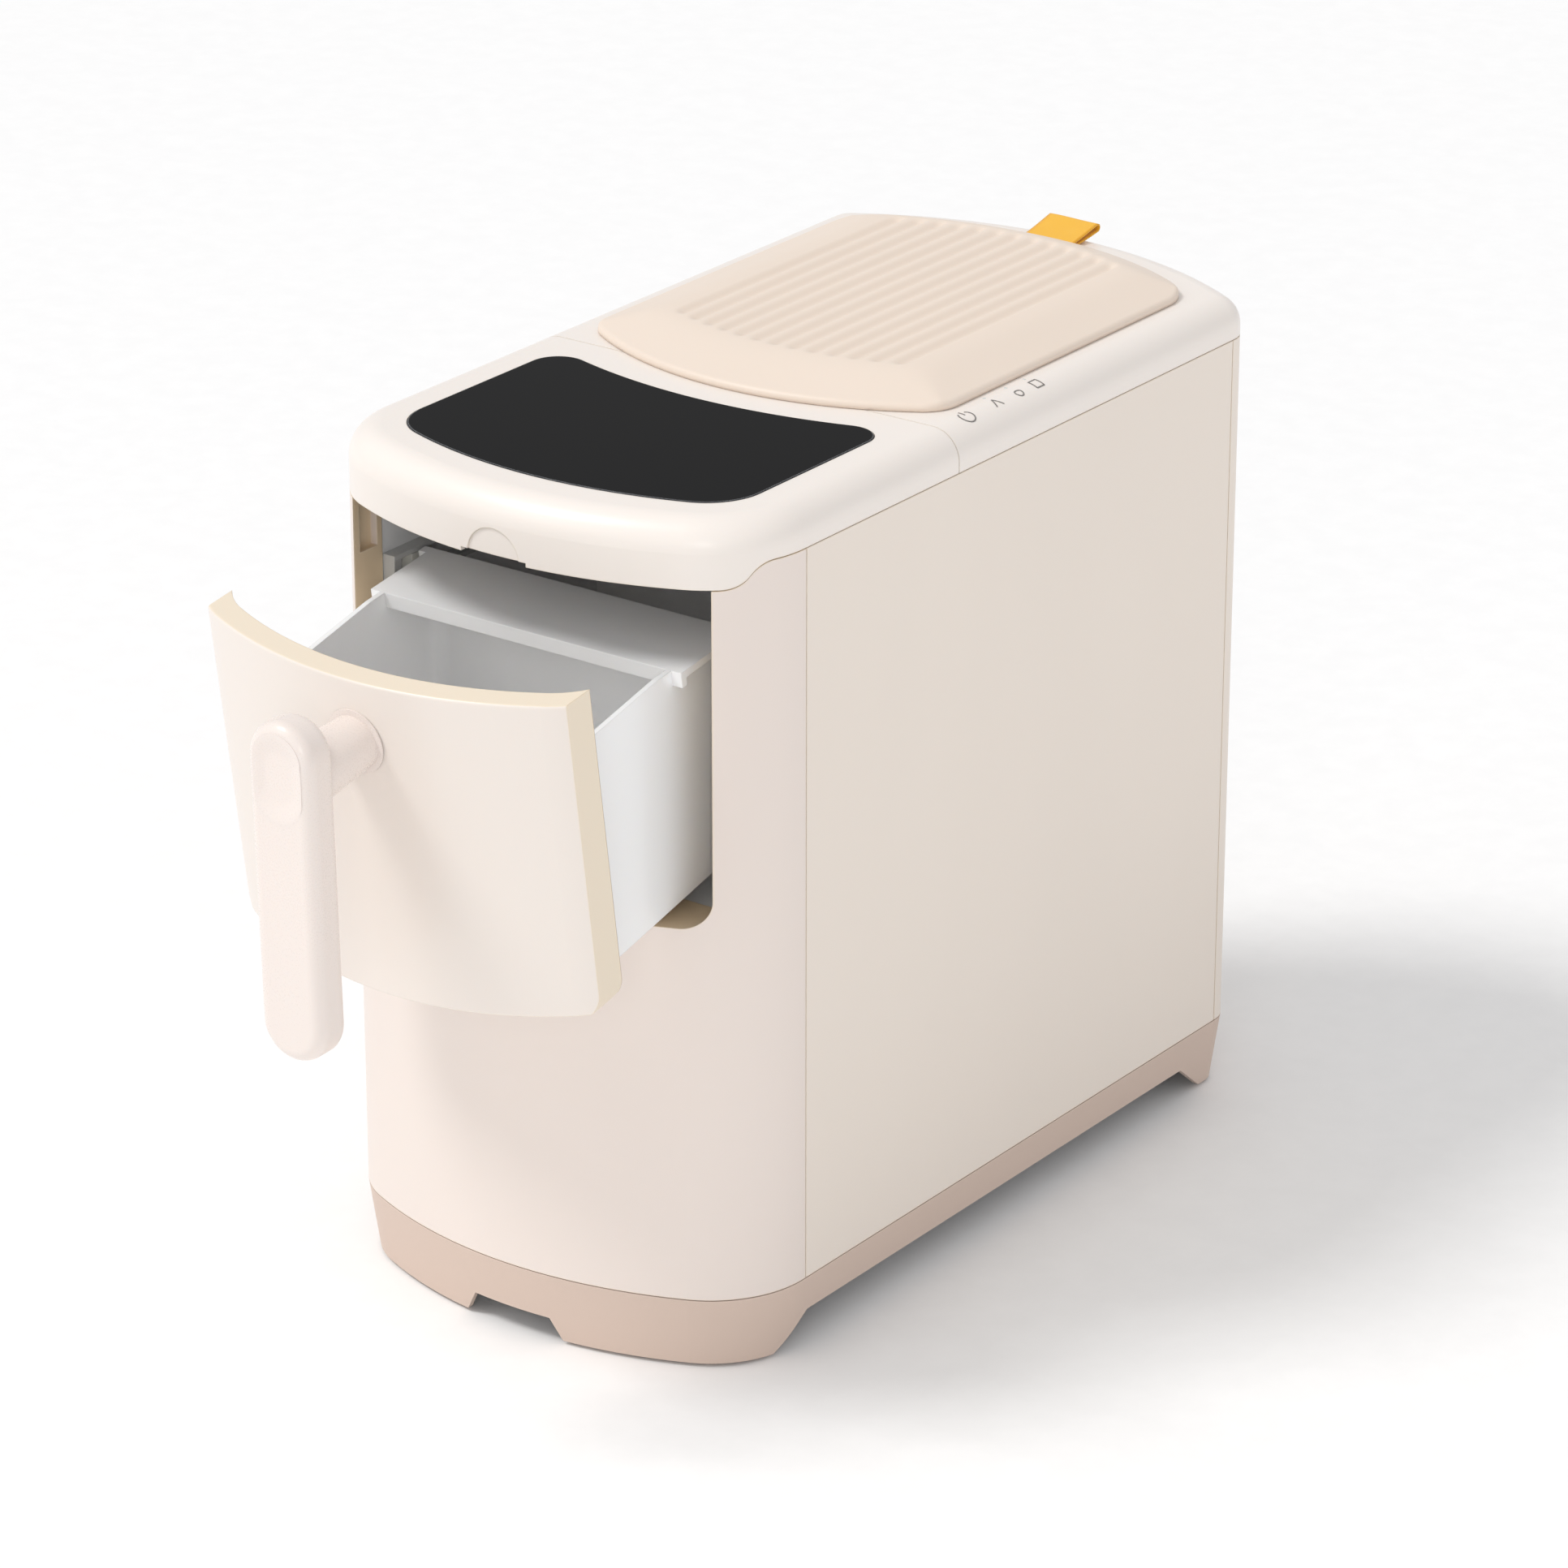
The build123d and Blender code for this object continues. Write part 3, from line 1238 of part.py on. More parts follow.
def fan_rotor():
    """Bladed rotor that turns in the frame."""
    front_y = FAN_FRONT_Y + FAN_CLEAR
    rear_y = FAN_REAR_Y - FAN_REAR_CLEAR
    rotor = rod("y", FAN_HUB_R, front_y, rear_y, 0, FAN_Z)
    rotor = fillet(rotor.faces().sort_by(Axis.Y)[-1].edges(), HUB_EDGE_R)
    blade = Box(FAN_BLADE_R - FAN_HUB_R + BLADE_LAP, BLADE_THICK, BLADE_CHORD)
    reach = (FAN_BLADE_R + FAN_HUB_R - BLADE_LAP) / 2
    ring = Pos(0, (front_y + rear_y) / 2, FAN_Z) * Rot(90, 0, 0)
    tip = rod("y", FAN_BLADE_R, front_y, rear_y, 0, FAN_Z)
    for index in range(FAN_BLADES):
        turn = Rot(0, 0, 360 * index / FAN_BLADES) * Pos(reach, 0, 0) * Rot(BLADE_PITCH, 0, 0)
        rotor += (ring * turn * blade) & tip
    return rotor - rod("y", SPINDLE_R + SHAFT_PLAY, 0, FAN_FRONT_Y + HUB_BORE, 0, FAN_Z)


def suction_pipe():
    """Copper pipe from the evaporator down into the compressor's dome."""
    z = (EVAP_LOW + EVAP_HIGH) / 2
    end_z = COMPRESSOR_LOW + COMPRESSOR_H - PIPE_SINK
    points = [(-EVAP_HALF, PIPE_Y, z), (PIPE_X, PIPE_Y, z), (PIPE_X, PIPE_Y, end_z)]
    return pipe(points, PIPE_BEND, PIPE_R)


def hot_gas_valve():
    """Solenoid valve that sends warm gas to the evaporator to free the ice."""
    half = VALVE_BODY_HALF
    valve = rod("z", VALVE_R, VALVE_MIDDLE, VALVE_HIGH, VALVE_X, VALVE_Y)
    return valve + block(
        VALVE_X - half, VALVE_X + half, VALVE_Y - half, VALVE_Y + half, VALVE_LOW, VALVE_MIDDLE
    )


def control_board():
    """Main board with its larger components."""
    inner = BOARD_X - BOARD_THICK
    board = block(inner, BOARD_X, BOARD_FRONT_Y, BOARD_REAR_Y, BOARD_LOW, BOARD_HIGH)
    board += block(inner - COIL_DEEP, inner, COIL_Y, COIL_Y + COIL_LENGTH, COIL_LOW, COIL_HIGH)
    board += block(inner - RELAY_DEEP, inner, RELAY_Y, RELAY_Y + RELAY_LENGTH, RELAY_LOW, RELAY_HIGH)
    for index in range(CAPACITORS):
        y = CAPACITOR_Y + CAPACITOR_PITCH * index
        board += rod("x", CAPACITOR_R, inner - CAPACITOR_DEEP, inner, y, CAPACITOR_Z)
    return board


def touch_board():
    """Narrow board under the key and the lamps, inside the rear cover."""
    high = TOP_Z - WALL - TOUCH_GAP
    return block(TOUCH_X0, TOUCH_X1, TOUCH_Y0, TOUCH_Y1, high - BOARD_THICK, high)


def inlet_block(inset_w, inset_h, y0, y1, corner):
    """Block centred on the inlet, with rounded corners."""
    half_w = INLET_W / 2 - inset_w
    half_h = INLET_H / 2 - inset_h
    solid = block(INLET_X - half_w, INLET_X + half_w, y0, y1, INLET_Z - half_h, INLET_Z + half_h)
    return fillet(solid.edges().filter_by(Axis.Y), corner)


def power_inlet():
    """Recessed power inlet with three pins."""
    body = inlet_block(0, 0, INLET_Y - INLET_DEEP, INLET_Y + INLET_FLANGE, INLET_CORNER_R)
    socket_y = INLET_Y - SOCKET_DEEP
    body -= inlet_block(SOCKET_WALL, SOCKET_SHELF, socket_y, FAR, SOCKET_CORNER_R)
    for x, z in ((-PIN_PITCH, -PIN_RISE), (0, PIN_RISE), (PIN_PITCH, -PIN_RISE)):
        x0 = INLET_X + x - PIN_HALF_W
        x1 = INLET_X + x + PIN_HALF_W
        z0 = INLET_Z + z - PIN_HALF_H
        z1 = INLET_Z + z + PIN_HALF_H
        body += block(x0, x1, socket_y - 1, INLET_Y - PIN_SHORT, z0, z1)
    return body


def rear_screws():
    """Six domed screw heads on the rear panel."""
    wall_y = rear_wall_y(REAR_SCREW_X)
    heads = []
    for x in (-REAR_SCREW_X, REAR_SCREW_X):
        for z in REAR_SCREW_Z:
            head = rod("y", REAR_SCREW_R, wall_y - REAR_SCREW_SINK, wall_y + REAR_SCREW_PROUD, x, z)
            heads.append(head - prism(plan(), 0, FAR))
    return Compound(heads)


def rear_wall_y(x):
    """Y of the body's rear face at a given X."""
    radius = (BODY_HALF_WIDTH**2 + REAR_BOW**2) / (2 * REAR_BOW)
    return BODY_HALF_DEPTH - radius + math.sqrt(radius**2 - x**2)


PARTS = {
    "base_skirt": base_skirt,
    "base_plate": base_plate,
    "rubber_feet": rubber_feet,
    "deck_plate": deck_plate,
    "front_panel": front_panel,
    "side_panel_left": side_panel_left,
    "side_panel_right": side_panel_right,
    "rear_panel": rear_panel,
    "top_front_cover": top_front_cover,
    "top_window": top_window,
    "top_rear_cover": top_rear_cover,
    "tank_lid": tank_lid,
    "lid_gasket": lid_gasket,
    "pull_tab": pull_tab,
    "drawer_front": drawer_front,
    "ice_bin": ice_bin,
    "handle_stem": handle_stem,
    "handle_grip": handle_grip,
    "thumb_pad": thumb_pad,
    "handle_screws": handle_screws,
    "tip_shaft": tip_shaft,
    "guide_shoes": guide_shoes,
    "drawer_rails": drawer_rails,
    "inner_liner": inner_liner,
    "chamber_foam": chamber_foam,
    "ice_trough": ice_trough,
    "ice_sensors": ice_sensors,
    "unit_cover": unit_cover,
    "evaporator": evaporator,
    "water_tray": water_tray,
    "tray_shaft": tray_shaft,
    "tray_motor": tray_motor,
    "tray_brackets": tray_brackets,
    "water_tank": water_tank,
    "tank_filter": tank_filter,
    "water_pump": water_pump,
    "feed_pipe": feed_pipe,
    "pump_hose": pump_hose,
    "drain_pipe": drain_pipe,
    "drain_spout": drain_spout,
    "drain_plug": drain_plug,
    "compressor": compressor,
    "compressor_mounts": compressor_mounts,
    "condenser": condenser,
    "fan_frame": fan_frame,
    "fan_rotor": fan_rotor,
    "suction_pipe": suction_pipe,
    "hot_gas_valve": hot_gas_valve,
    "control_board": control_board,
    "touch_board": touch_board,
    "power_inlet": power_inlet,
    "rear_screws": rear_screws,
}


def main():
    """Builds every node and writes it."""
    os.makedirs("parts", exist_ok=True)
    for name, make in PARTS.items():
        shape = make()
        export_step(shape, f"parts/{name}.step")
        print(name, len(shape.solids()), round(shape.volume))


main()
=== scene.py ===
import json
import math

import bmesh
import bpy
import numpy as np
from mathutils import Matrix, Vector


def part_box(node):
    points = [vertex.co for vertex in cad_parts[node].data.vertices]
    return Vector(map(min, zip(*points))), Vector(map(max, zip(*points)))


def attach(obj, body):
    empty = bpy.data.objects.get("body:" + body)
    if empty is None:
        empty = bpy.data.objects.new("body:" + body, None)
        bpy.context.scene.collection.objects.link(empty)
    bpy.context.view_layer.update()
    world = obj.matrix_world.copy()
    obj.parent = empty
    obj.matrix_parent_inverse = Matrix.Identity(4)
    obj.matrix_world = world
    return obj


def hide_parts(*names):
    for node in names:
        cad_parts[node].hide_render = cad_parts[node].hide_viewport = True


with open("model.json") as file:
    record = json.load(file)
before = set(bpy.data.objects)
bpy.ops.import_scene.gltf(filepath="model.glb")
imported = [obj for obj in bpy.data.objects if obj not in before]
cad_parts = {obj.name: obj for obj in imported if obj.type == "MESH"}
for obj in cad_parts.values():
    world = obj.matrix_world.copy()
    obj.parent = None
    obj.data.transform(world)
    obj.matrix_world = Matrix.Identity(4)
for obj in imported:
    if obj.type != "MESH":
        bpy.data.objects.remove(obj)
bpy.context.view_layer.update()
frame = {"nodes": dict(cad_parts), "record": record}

MM = 0.001
NODES = frame["nodes"]
SLOT_OF = {s["node"]: s["material_slot"] for s in frame["record"]["subparts"]}


# ---------------------------------------------------------------- material tools

BEVEL_SAMPLES = 6
FULL_EDGE = 0.86  # agreement of the true and the bevelled normal at which an edge counts in full
FINE_RELIEF = 0.06 * MM
FLOW_STRETCH = (3.0, 3.0, 1.2)

def srgb(r, g, b):
    """Linear colour from 0-255 screen values."""
    out = []
    for v in (r, g, b):
        c = v / 255.0
        out.append(c / 12.92 if c <= 0.04045 else ((c + 0.055) / 1.055) ** 2.4)
    return (*out, 1.0)


class Mat:
    """A node material built step by step around one Principled shader."""

    def __init__(self, name):
        self.material = bpy.data.materials.new(name)
        self.material.use_nodes = True
        self.tree = self.material.node_tree
        self.tree.nodes.clear()
        out = self.new("ShaderNodeOutputMaterial")
        self.bsdf = self.new("ShaderNodeBsdfPrincipled")
        self.link(self.bsdf.outputs["BSDF"], out.inputs["Surface"])
        self.coord = self.new("ShaderNodeTexCoord").outputs["Object"]

    def new(self, kind, **values):
        node = self.tree.nodes.new(kind)
        for key, value in values.items():
            setattr(node, key, value)
        return node

    def link(self, a, b):
        self.tree.links.new(a, b)

    def put(self, **values):
        """Values straight onto the shader's sockets."""
        for key, value in values.items():
            self.bsdf.inputs[key.replace("_", " ")].default_value = value
        return self

    def stretched(self, scale):
        node = self.new("ShaderNodeMapping")
        node.inputs["Scale"].default_value = scale
        self.link(self.coord, node.inputs["Vector"])
        return node.outputs["Vector"]

    def noise(self, scale, detail=3.0, rough=0.5, vector=None, distortion=0.0):
        node = self.new("ShaderNodeTexNoise")
        node.inputs["Scale"].default_value = scale
        node.inputs["Detail"].default_value = detail
        node.inputs["Roughness"].default_value = rough
        node.inputs["Distortion"].default_value = distortion
        self.link(vector or self.coord, node.inputs["Vector"])
        return node.outputs["Fac"]

    def cells(self, scale, feature="F1"):
        node = self.new("ShaderNodeTexVoronoi", feature=feature)
        node.inputs["Scale"].default_value = scale
        self.link(self.coord, node.inputs["Vector"])
        return node.outputs["Distance"]

    def remap(self, value, low, high, to_low, to_high):
        node = self.new("ShaderNodeMapRange", interpolation_type="SMOOTHSTEP")
        for key, number in zip(("From Min", "From Max", "To Min", "To Max"), (low, high, to_low, to_high)):
            node.inputs[key].default_value = number
        self.link(value, node.inputs["Value"])
        return node.outputs["Result"]

    def maths(self, operation, a, b):
        node = self.new("ShaderNodeMath", operation=operation)
        for socket, value in zip(node.inputs, (a, b)):
            if isinstance(value, (int, float)):
                socket.default_value = value
            else:
                self.link(value, socket)
        return node.outputs["Value"]

    def mix(self, factor, a, b):
        node = self.new("ShaderNodeMix", data_type="RGBA")
        if isinstance(factor, (int, float)):
            node.inputs["Factor"].default_value = factor
        else:
            self.link(factor, node.inputs["Factor"])
        for socket, value in ((node.inputs["A"], a), (node.inputs["B"], b)):
            if isinstance(value, tuple):
                socket.default_value = value
            else:
                self.link(value, socket)
        return node.outputs["Result"]

    def edges(self, radius, strength):
        """0 on flats to 1 along convex and concave edges."""
        plain = self.new("ShaderNodeNewGeometry")
        dot = self.new("ShaderNodeVectorMath", operation="DOT_PRODUCT")
        self.link(self.rounded(radius), dot.inputs[0])
        self.link(plain.outputs["Normal"], dot.inputs[1])
        return self.remap(dot.outputs["Value"], 1.0, FULL_EDGE, 0.0, strength)

    def parts(self, vector):
        """The X, Y and Z outputs of a vector."""
        node = self.new("ShaderNodeSeparateXYZ")
        self.link(vector, node.inputs["Vector"])
        return node.outputs

    def facing_in(self):
        """1 where a surface looks towards the object's middle plane or straight up: where the painted
        shade of the opening goes.
        """
        normal = self.parts(self.new("ShaderNodeTexCoord").outputs["Normal"])
        inwards = self.maths("MULTIPLY", self.parts(self.coord)["X"], normal["X"])
        sill = self.remap(normal["Z"], 0.6, 0.85, 0.0, 1.0)
        return self.maths("MAXIMUM", self.remap(inwards, -0.03, -0.01, 1.0, 0.0), sill)

    def bump(self, height, strength, distance, normal=None):
        node = self.new("ShaderNodeBump")
        node.inputs["Strength"].default_value = strength
        node.inputs["Distance"].default_value = distance
        self.link(height, node.inputs["Height"])
        if normal is not None:
            self.link(normal, node.inputs["Normal"])
        return node.outputs["Normal"]

    def rounded(self, radius):
        """Normal that rounds sharp edges off over a radius."""
        node = self.new("ShaderNodeBevel", samples=BEVEL_SAMPLES)
        node.inputs["Radius"].default_value = radius
        return node.outputs["Normal"]

    def colour(self, socket):
        self.link(socket, self.bsdf.inputs["Base Color"])

    def roughness(self, socket):
        self.link(socket, self.bsdf.inputs["Roughness"])

    def normal(self, socket):
        self.link(socket, self.bsdf.inputs["Normal"])


def scaled(colour, factor, add=0.0):
    """A colour made lighter or darker, still opaque."""
    return tuple(min(1.0, c * factor + add) for c in colour[:3]) + (1.0,)


def moulded(name, base, rough, grain, depth, edge=None, coat=0.0, soft=0.0, round_mm=0.5, flank_bounce=None,
            inward_shade=None):
    """Injection-moulded plastic: the faintest flow clouding and spark-eroded grain, with painted light:
    warm bounce light and highlights along the edges, warm bounce light on the flanks, and warm shade on
    faces inside the opening.
    """
    m = Mat(name)
    mottle = 0.004
    cloud = m.noise(2.6, 4.0, 0.55, m.stretched(FLOW_STRETCH), 0.6)
    darker, lighter = scaled(base, 1 - 2.2 * mottle), scaled(base, 1 + mottle)
    tone = m.mix(m.remap(cloud, 0.3, 0.7, 0.0, 1.0), darker, lighter)
    # Painted light: faces turning away from the front take a warmer, slightly darker tone, standing for
    # warm light bounced onto the drawer's top and side faces.
    if flank_bounce is not None:
        normal = m.parts(m.new("ShaderNodeTexCoord").outputs["Normal"])
        tone = m.mix(m.remap(normal["Y"], -0.8, -0.5, 0.0, 0.85), tone, flank_bounce)
    # Painted shade: faces inside the drawer opening and its sill take a darker tan, standing for the warm
    # shade in the recess.
    if inward_shade is not None:
        tone = m.mix(m.facing_in(), tone, inward_shade)
    # Painted light: the edge colour stands for warm light bounced along the edges and corners of the cream
    # parts, and for a highlight along the edges of the black ones.
    if edge is not None:
        tone = m.mix(m.edges(1.4 * MM, 0.6), tone, edge)
    speck = m.cells(1400.0)
    tone = m.mix(m.remap(speck, 0.02, 0.12, 0.02, 0.0), tone, scaled(base, 0.55))
    m.colour(tone)
    handled = m.noise(9.0, 3.0, 0.5)
    fine = m.noise(1600.0, 2.0)
    broad = m.remap(handled, 0.3, 0.75, -0.012, 0.015)
    spread = m.maths("ADD", broad, m.remap(fine, 0.3, 0.7, -0.02, 0.02))
    m.roughness(m.maths("ADD", spread, rough))
    grain_height = m.maths("ADD", m.noise(grain, 2.0, 0.6), m.maths("MULTIPLY", m.cells(grain * 0.6), 0.5))
    m.normal(m.bump(grain_height, depth, FINE_RELIEF, m.rounded(round_mm * MM) if round_mm else None))
    m.put(Specular_IOR_Level=0.5, Coat_Weight=coat, Coat_Roughness=0.1, Subsurface_Weight=soft,
          Subsurface_Radius=(1.0, 0.7, 0.5), Subsurface_Scale=4 * MM)
    return m.material


def metal(name, base, rough, stretch, grain, depth=0.15):
    """Bare metal with a drawn or rolled grain and faint tarnish."""
    m = Mat(name)
    lines = m.noise(grain, 4.0, 0.65, m.stretched(stretch))
    stain = m.noise(40.0, 5.0, 0.6, None, 1.0)
    m.colour(m.mix(m.remap(stain, 0.35, 0.75, 0.0, 0.6), base, scaled(base, 0.72)))
    drawn = m.remap(lines, 0.3, 0.7, rough - 0.06, rough + 0.06)
    m.roughness(m.maths("ADD", m.remap(stain, 0.3, 0.7, 0.0, 0.12), drawn))
    m.normal(m.bump(lines, depth, 0.05 * MM, m.rounded(0.25 * MM)))
    m.put(Metallic=1.0)
    return m.material


def rubber(name, base, rough=0.7, clear=0.0):
    """Rubber or silicone with a dusty bloom."""
    m = Mat(name)
    bloom = m.noise(70.0, 6.0, 0.65)
    m.colour(m.mix(m.remap(bloom, 0.42, 0.8, 0.0, 0.7), base, scaled(base, 1.35, 0.012)))
    m.roughness(m.remap(bloom, 0.3, 0.8, rough - 0.08, min(1.0, rough + 0.14)))
    m.normal(m.bump(m.noise(1100.0, 3.0), 0.25, FINE_RELIEF, m.rounded(0.4 * MM)))
    m.put(Specular_IOR_Level=0.4, Subsurface_Weight=clear, Subsurface_Scale=3 * MM)
    return m.material


def dark_window():
    """Smoked acrylic: black and glossy, with a little dust and a painted highlight along its edges."""
    m = Mat("smoked_window")
    dust = m.noise(900.0, 6.0, 0.75)
    haze = m.noise(14.0, 4.0, 0.6)
    base = m.mix(m.remap(dust, 0.66, 0.8, 0.0, 0.25), srgb(11, 11, 12), srgb(36, 35, 34))
    # Painted highlight: the edges are coloured light grey to stand for the glint along the window's
    # chamfer.
    m.colour(m.mix(m.edges(0.9 * MM, 0.8), base, srgb(176, 178, 182)))
    clean = m.remap(haze, 0.3, 0.75, 0.04, 0.06)
    m.roughness(m.maths("ADD", clean, m.remap(dust, 0.64, 0.8, 0.0, 0.08)))
    m.normal(m.rounded(0.3 * MM))
    m.put(Specular_IOR_Level=0.02)
    return m.material


def woven_ribbon():
    """Golden twill ribbon with bound selvedges and painted shade between its yarns. It reads the strip's
    own map, in mm.
    """
    m = Mat("ribbon_weave")
    strip = m.parts(m.new("ShaderNodeUVMap", uv_map="strip").outputs["UV"])
    across, along = strip["X"], strip["Y"]

    def ridge(value, pitch):
        """Rounded ridges of a given pitch along one direction."""
        phase = m.maths("MULTIPLY", value, 2 * math.pi / pitch)
        return m.maths("MULTIPLY_ADD", m.maths("SINE", phase, 0.0), 0.5)

    warp = ridge(m.maths("ADD", across, m.maths("MULTIPLY", along, 0.5)), 0.62)
    weft = ridge(along, 0.46)
    fuzz = m.noise(2600.0, 3.0)
    yarns = m.maths("ADD", m.maths("MULTIPLY", warp, 0.65), m.maths("MULTIPLY", weft, 0.35))
    height = m.maths("ADD", yarns, m.maths("MULTIPLY", fuzz, 0.3))
    selvedge = m.remap(m.maths("ABSOLUTE", across, 0.0), 10.4, 11.0, 0.0, 1.0)
    # Painted shade: the hollows between the yarns are darker and the ridges lighter.
    tone = m.mix(m.remap(height, 0.1, 0.9, 0.0, 1.0), srgb(244, 160, 16), srgb(255, 204, 56))
    tone = m.mix(m.maths("MULTIPLY", selvedge, 0.45), tone, srgb(244, 170, 34))
    worn = m.noise(160.0, 4.0, 0.6)
    m.colour(m.mix(m.remap(worn, 0.55, 0.8, 0.0, 0.25), tone, srgb(255, 212, 96)))
    m.roughness(m.remap(height, 0.0, 1.2, 0.86, 0.62))
    relief = m.maths("ADD", height, m.maths("MULTIPLY", selvedge, 0.8))
    m.normal(m.bump(relief, 0.55, 0.22 * MM))
    m.put(Sheen_Weight=0.35, Sheen_Roughness=0.45, Specular_IOR_Level=0.25)
    return m.material


def foam_block():
    """Expanded foam: pale beads pressed together."""
    m = Mat("expanded_foam")
    beads = m.cells(420.0)
    m.colour(m.mix(m.remap(beads, 0.05, 0.6, 0.0, 1.0), srgb(236, 233, 222), srgb(196, 192, 178)))
    m.roughness(m.remap(m.noise(200.0), 0.3, 0.7, 0.8, 0.95))
    m.normal(m.bump(beads, 0.5, 0.6 * MM))
    return m.material


def circuit_board():
    """Green solder mask with copper tracks under it and a light legend of dots."""
    m = Mat("solder_mask")
    tracks = m.cells(90.0, "DISTANCE_TO_EDGE")
    base = m.mix(m.remap(tracks, 0.04, 0.09, 1.0, 0.0), srgb(16, 92, 52), srgb(42, 128, 74))
    pads = m.cells(260.0)
    m.colour(m.mix(m.remap(pads, 0.12, 0.2, 1.0, 0.0), base, srgb(186, 190, 180)))
    m.roughness(m.remap(m.noise(120.0), 0.3, 0.7, 0.28, 0.42))
    m.normal(m.bump(tracks, 0.3, 0.2 * MM))
    return m.material


def painted_can():
    """Black enamel on pressed steel: slight orange peel and dust on top."""
    m = Mat("black_enamel")
    dust = m.noise(60.0, 6.0, 0.7)
    m.colour(m.mix(m.remap(dust, 0.5, 0.8, 0.0, 0.5), srgb(24, 24, 25), srgb(70, 68, 65)))
    m.roughness(m.remap(dust, 0.3, 0.8, 0.24, 0.5))
    m.normal(m.bump(m.noise(240.0, 2.0), 0.25, 0.2 * MM, m.rounded(0.5 * MM)))
    m.put(Coat_Weight=0.4, Coat_Roughness=0.12)
    return m.material


# The warm edge colours here, and the edge colour of each finish below, are painted light: warm bounce
# light along the cream parts' edges, a painted highlight along the black parts' edges.
WARM_EDGE_BOUNCE = srgb(246, 228, 204)
CREAM_EDGE_BOUNCE = srgb(247, 228, 200)
GRIP_CREAM = srgb(239, 228, 221)
FINISH = {
    "skirt_tan": moulded("skirt_tan", srgb(214, 193, 179), 0.52, 1300.0, 0.3, srgb(228, 208, 194)),
    # The front panel's inward colour is painted warm shade inside the drawer opening.
    "shell_cream": moulded("shell_cream", srgb(237, 225, 217), 0.4, 1700.0, 0.14, WARM_EDGE_BOUNCE, soft=0.05,
                           inward_shade=srgb(232, 209, 176)),
    "side_cream": moulded("side_cream", srgb(240, 229, 218), 0.42, 1700.0, 0.14, WARM_EDGE_BOUNCE, soft=0.05),
    "cover_white": moulded("cover_white", srgb(245, 237, 230), 0.34, 1800.0, 0.08, srgb(249, 238, 222),
                           coat=0.12, soft=0.05),
    "lid_cream": moulded("lid_cream", srgb(239, 223, 208), 0.46, 1500.0, 0.16, srgb(245, 226, 205),
                         soft=0.05),
    # The drawer's flank colour is painted warm bounce light on its top and side faces.
    "drawer_cream": moulded("drawer_cream", srgb(239, 230, 222), 0.32, 1800.0, 0.04, CREAM_EDGE_BOUNCE, coat=0.15,
                            soft=0.06, flank_bounce=srgb(238, 223, 199)),
    "handle_cream": moulded("handle_cream", GRIP_CREAM, 0.29, 1900.0, 0.02, coat=0.2, soft=0.06,
                            round_mm=0.0),
    "pad_cream": moulded("pad_cream", GRIP_CREAM, 0.29, 1900.0, 0.02, coat=0.15, soft=0.06, round_mm=0.0),
    "bin_white": moulded("bin_white", srgb(250, 250, 250), 0.24, 1900.0, 0.05, srgb(248, 248, 248),
                         coat=0.25, soft=0.08),
    "liner_white": moulded("liner_white", srgb(248, 249, 250), 0.36, 1500.0, 0.14),
    "white_plastic_inner": moulded("white_plastic_inner", srgb(226, 226, 223), 0.46, 1300.0, 0.2),
    "liner_grey": moulded("liner_grey", srgb(206, 207, 206), 0.42, 1300.0, 0.2),
    "unit_grey": moulded("unit_grey", srgb(150, 145, 141), 0.46, 1200.0, 0.25),
    "tray_grey": moulded("tray_grey", srgb(176, 180, 184), 0.34, 1500.0, 0.12),
    "tank_white": moulded("tank_white", srgb(232, 237, 240), 0.2, 1900.0, 0.05, coat=0.3, soft=0.15),
    "shoe_acetal": moulded("shoe_acetal", srgb(234, 233, 226), 0.34, 1500.0, 0.1, soft=0.1),
    "sensor_black": moulded("sensor_black", srgb(30, 22, 32), 0.14, 1900.0, 0.04, coat=0.6),
    "motor_black": moulded("motor_black", srgb(36, 36, 37), 0.42, 1100.0, 0.3, srgb(64, 64, 64)),
    "inlet_black": moulded("inlet_black", srgb(30, 30, 31), 0.4, 1100.0, 0.3, srgb(60, 60, 60)),
    "window_black": dark_window(),
    "zinc_sheet": metal("zinc_sheet", srgb(198, 200, 202), 0.34, (8, 1, 1), 160.0),
    "steel_small": metal("steel_small", srgb(196, 195, 192), 0.28, (1, 6, 6), 260.0),
    "evaporator_metal": metal("evaporator_metal", srgb(214, 214, 212), 0.14, (1, 1, 1), 200.0, 0.08),
    "condenser_alu": metal("condenser_alu", srgb(204, 206, 208), 0.36, (1, 1, 10), 220.0),
    "copper_tube": metal("copper_tube", srgb(208, 132, 94), 0.24, (1, 1, 1), 180.0),
    "brass_valve": metal("brass_valve", srgb(206, 172, 98), 0.26, (1, 1, 4), 220.0),
    "foot_rubber": rubber("foot_rubber", srgb(44, 43, 42)),
    "gasket_silicone": rubber("gasket_silicone", srgb(226, 226, 220), 0.48, 0.2),
    "hose_silicone": rubber("hose_silicone", srgb(222, 224, 222), 0.4, 0.25),
    "plug_rubber": rubber("plug_rubber", srgb(168, 162, 156), 0.62),
    "foam": foam_block(),
    "board_green": circuit_board(),
    "compressor_black": painted_can(),
    "tab_fabric": woven_ribbon(),
}


def dress(obj, slot):
    """Gives an object the finish of one of the record's slots."""
    obj.data.materials.clear()
    obj.data.materials.append(FINISH[slot])
    return obj


for node, obj in NODES.items():
    dress(obj, SLOT_OF[node])


# ---------------------------------------------------------------- mesh tools


def mesh_object(name, verts, faces, smooth=True):
    data = bpy.data.meshes.new(name)
    data.from_pydata([tuple(v) for v in verts], [], faces)
    data.validate()
    obj = bpy.data.objects.new(name, data)
    bpy.context.scene.collection.objects.link(obj)
    if smooth:
        data.polygons.foreach_set("use_smooth", [True] * len(data.polygons))
    return obj


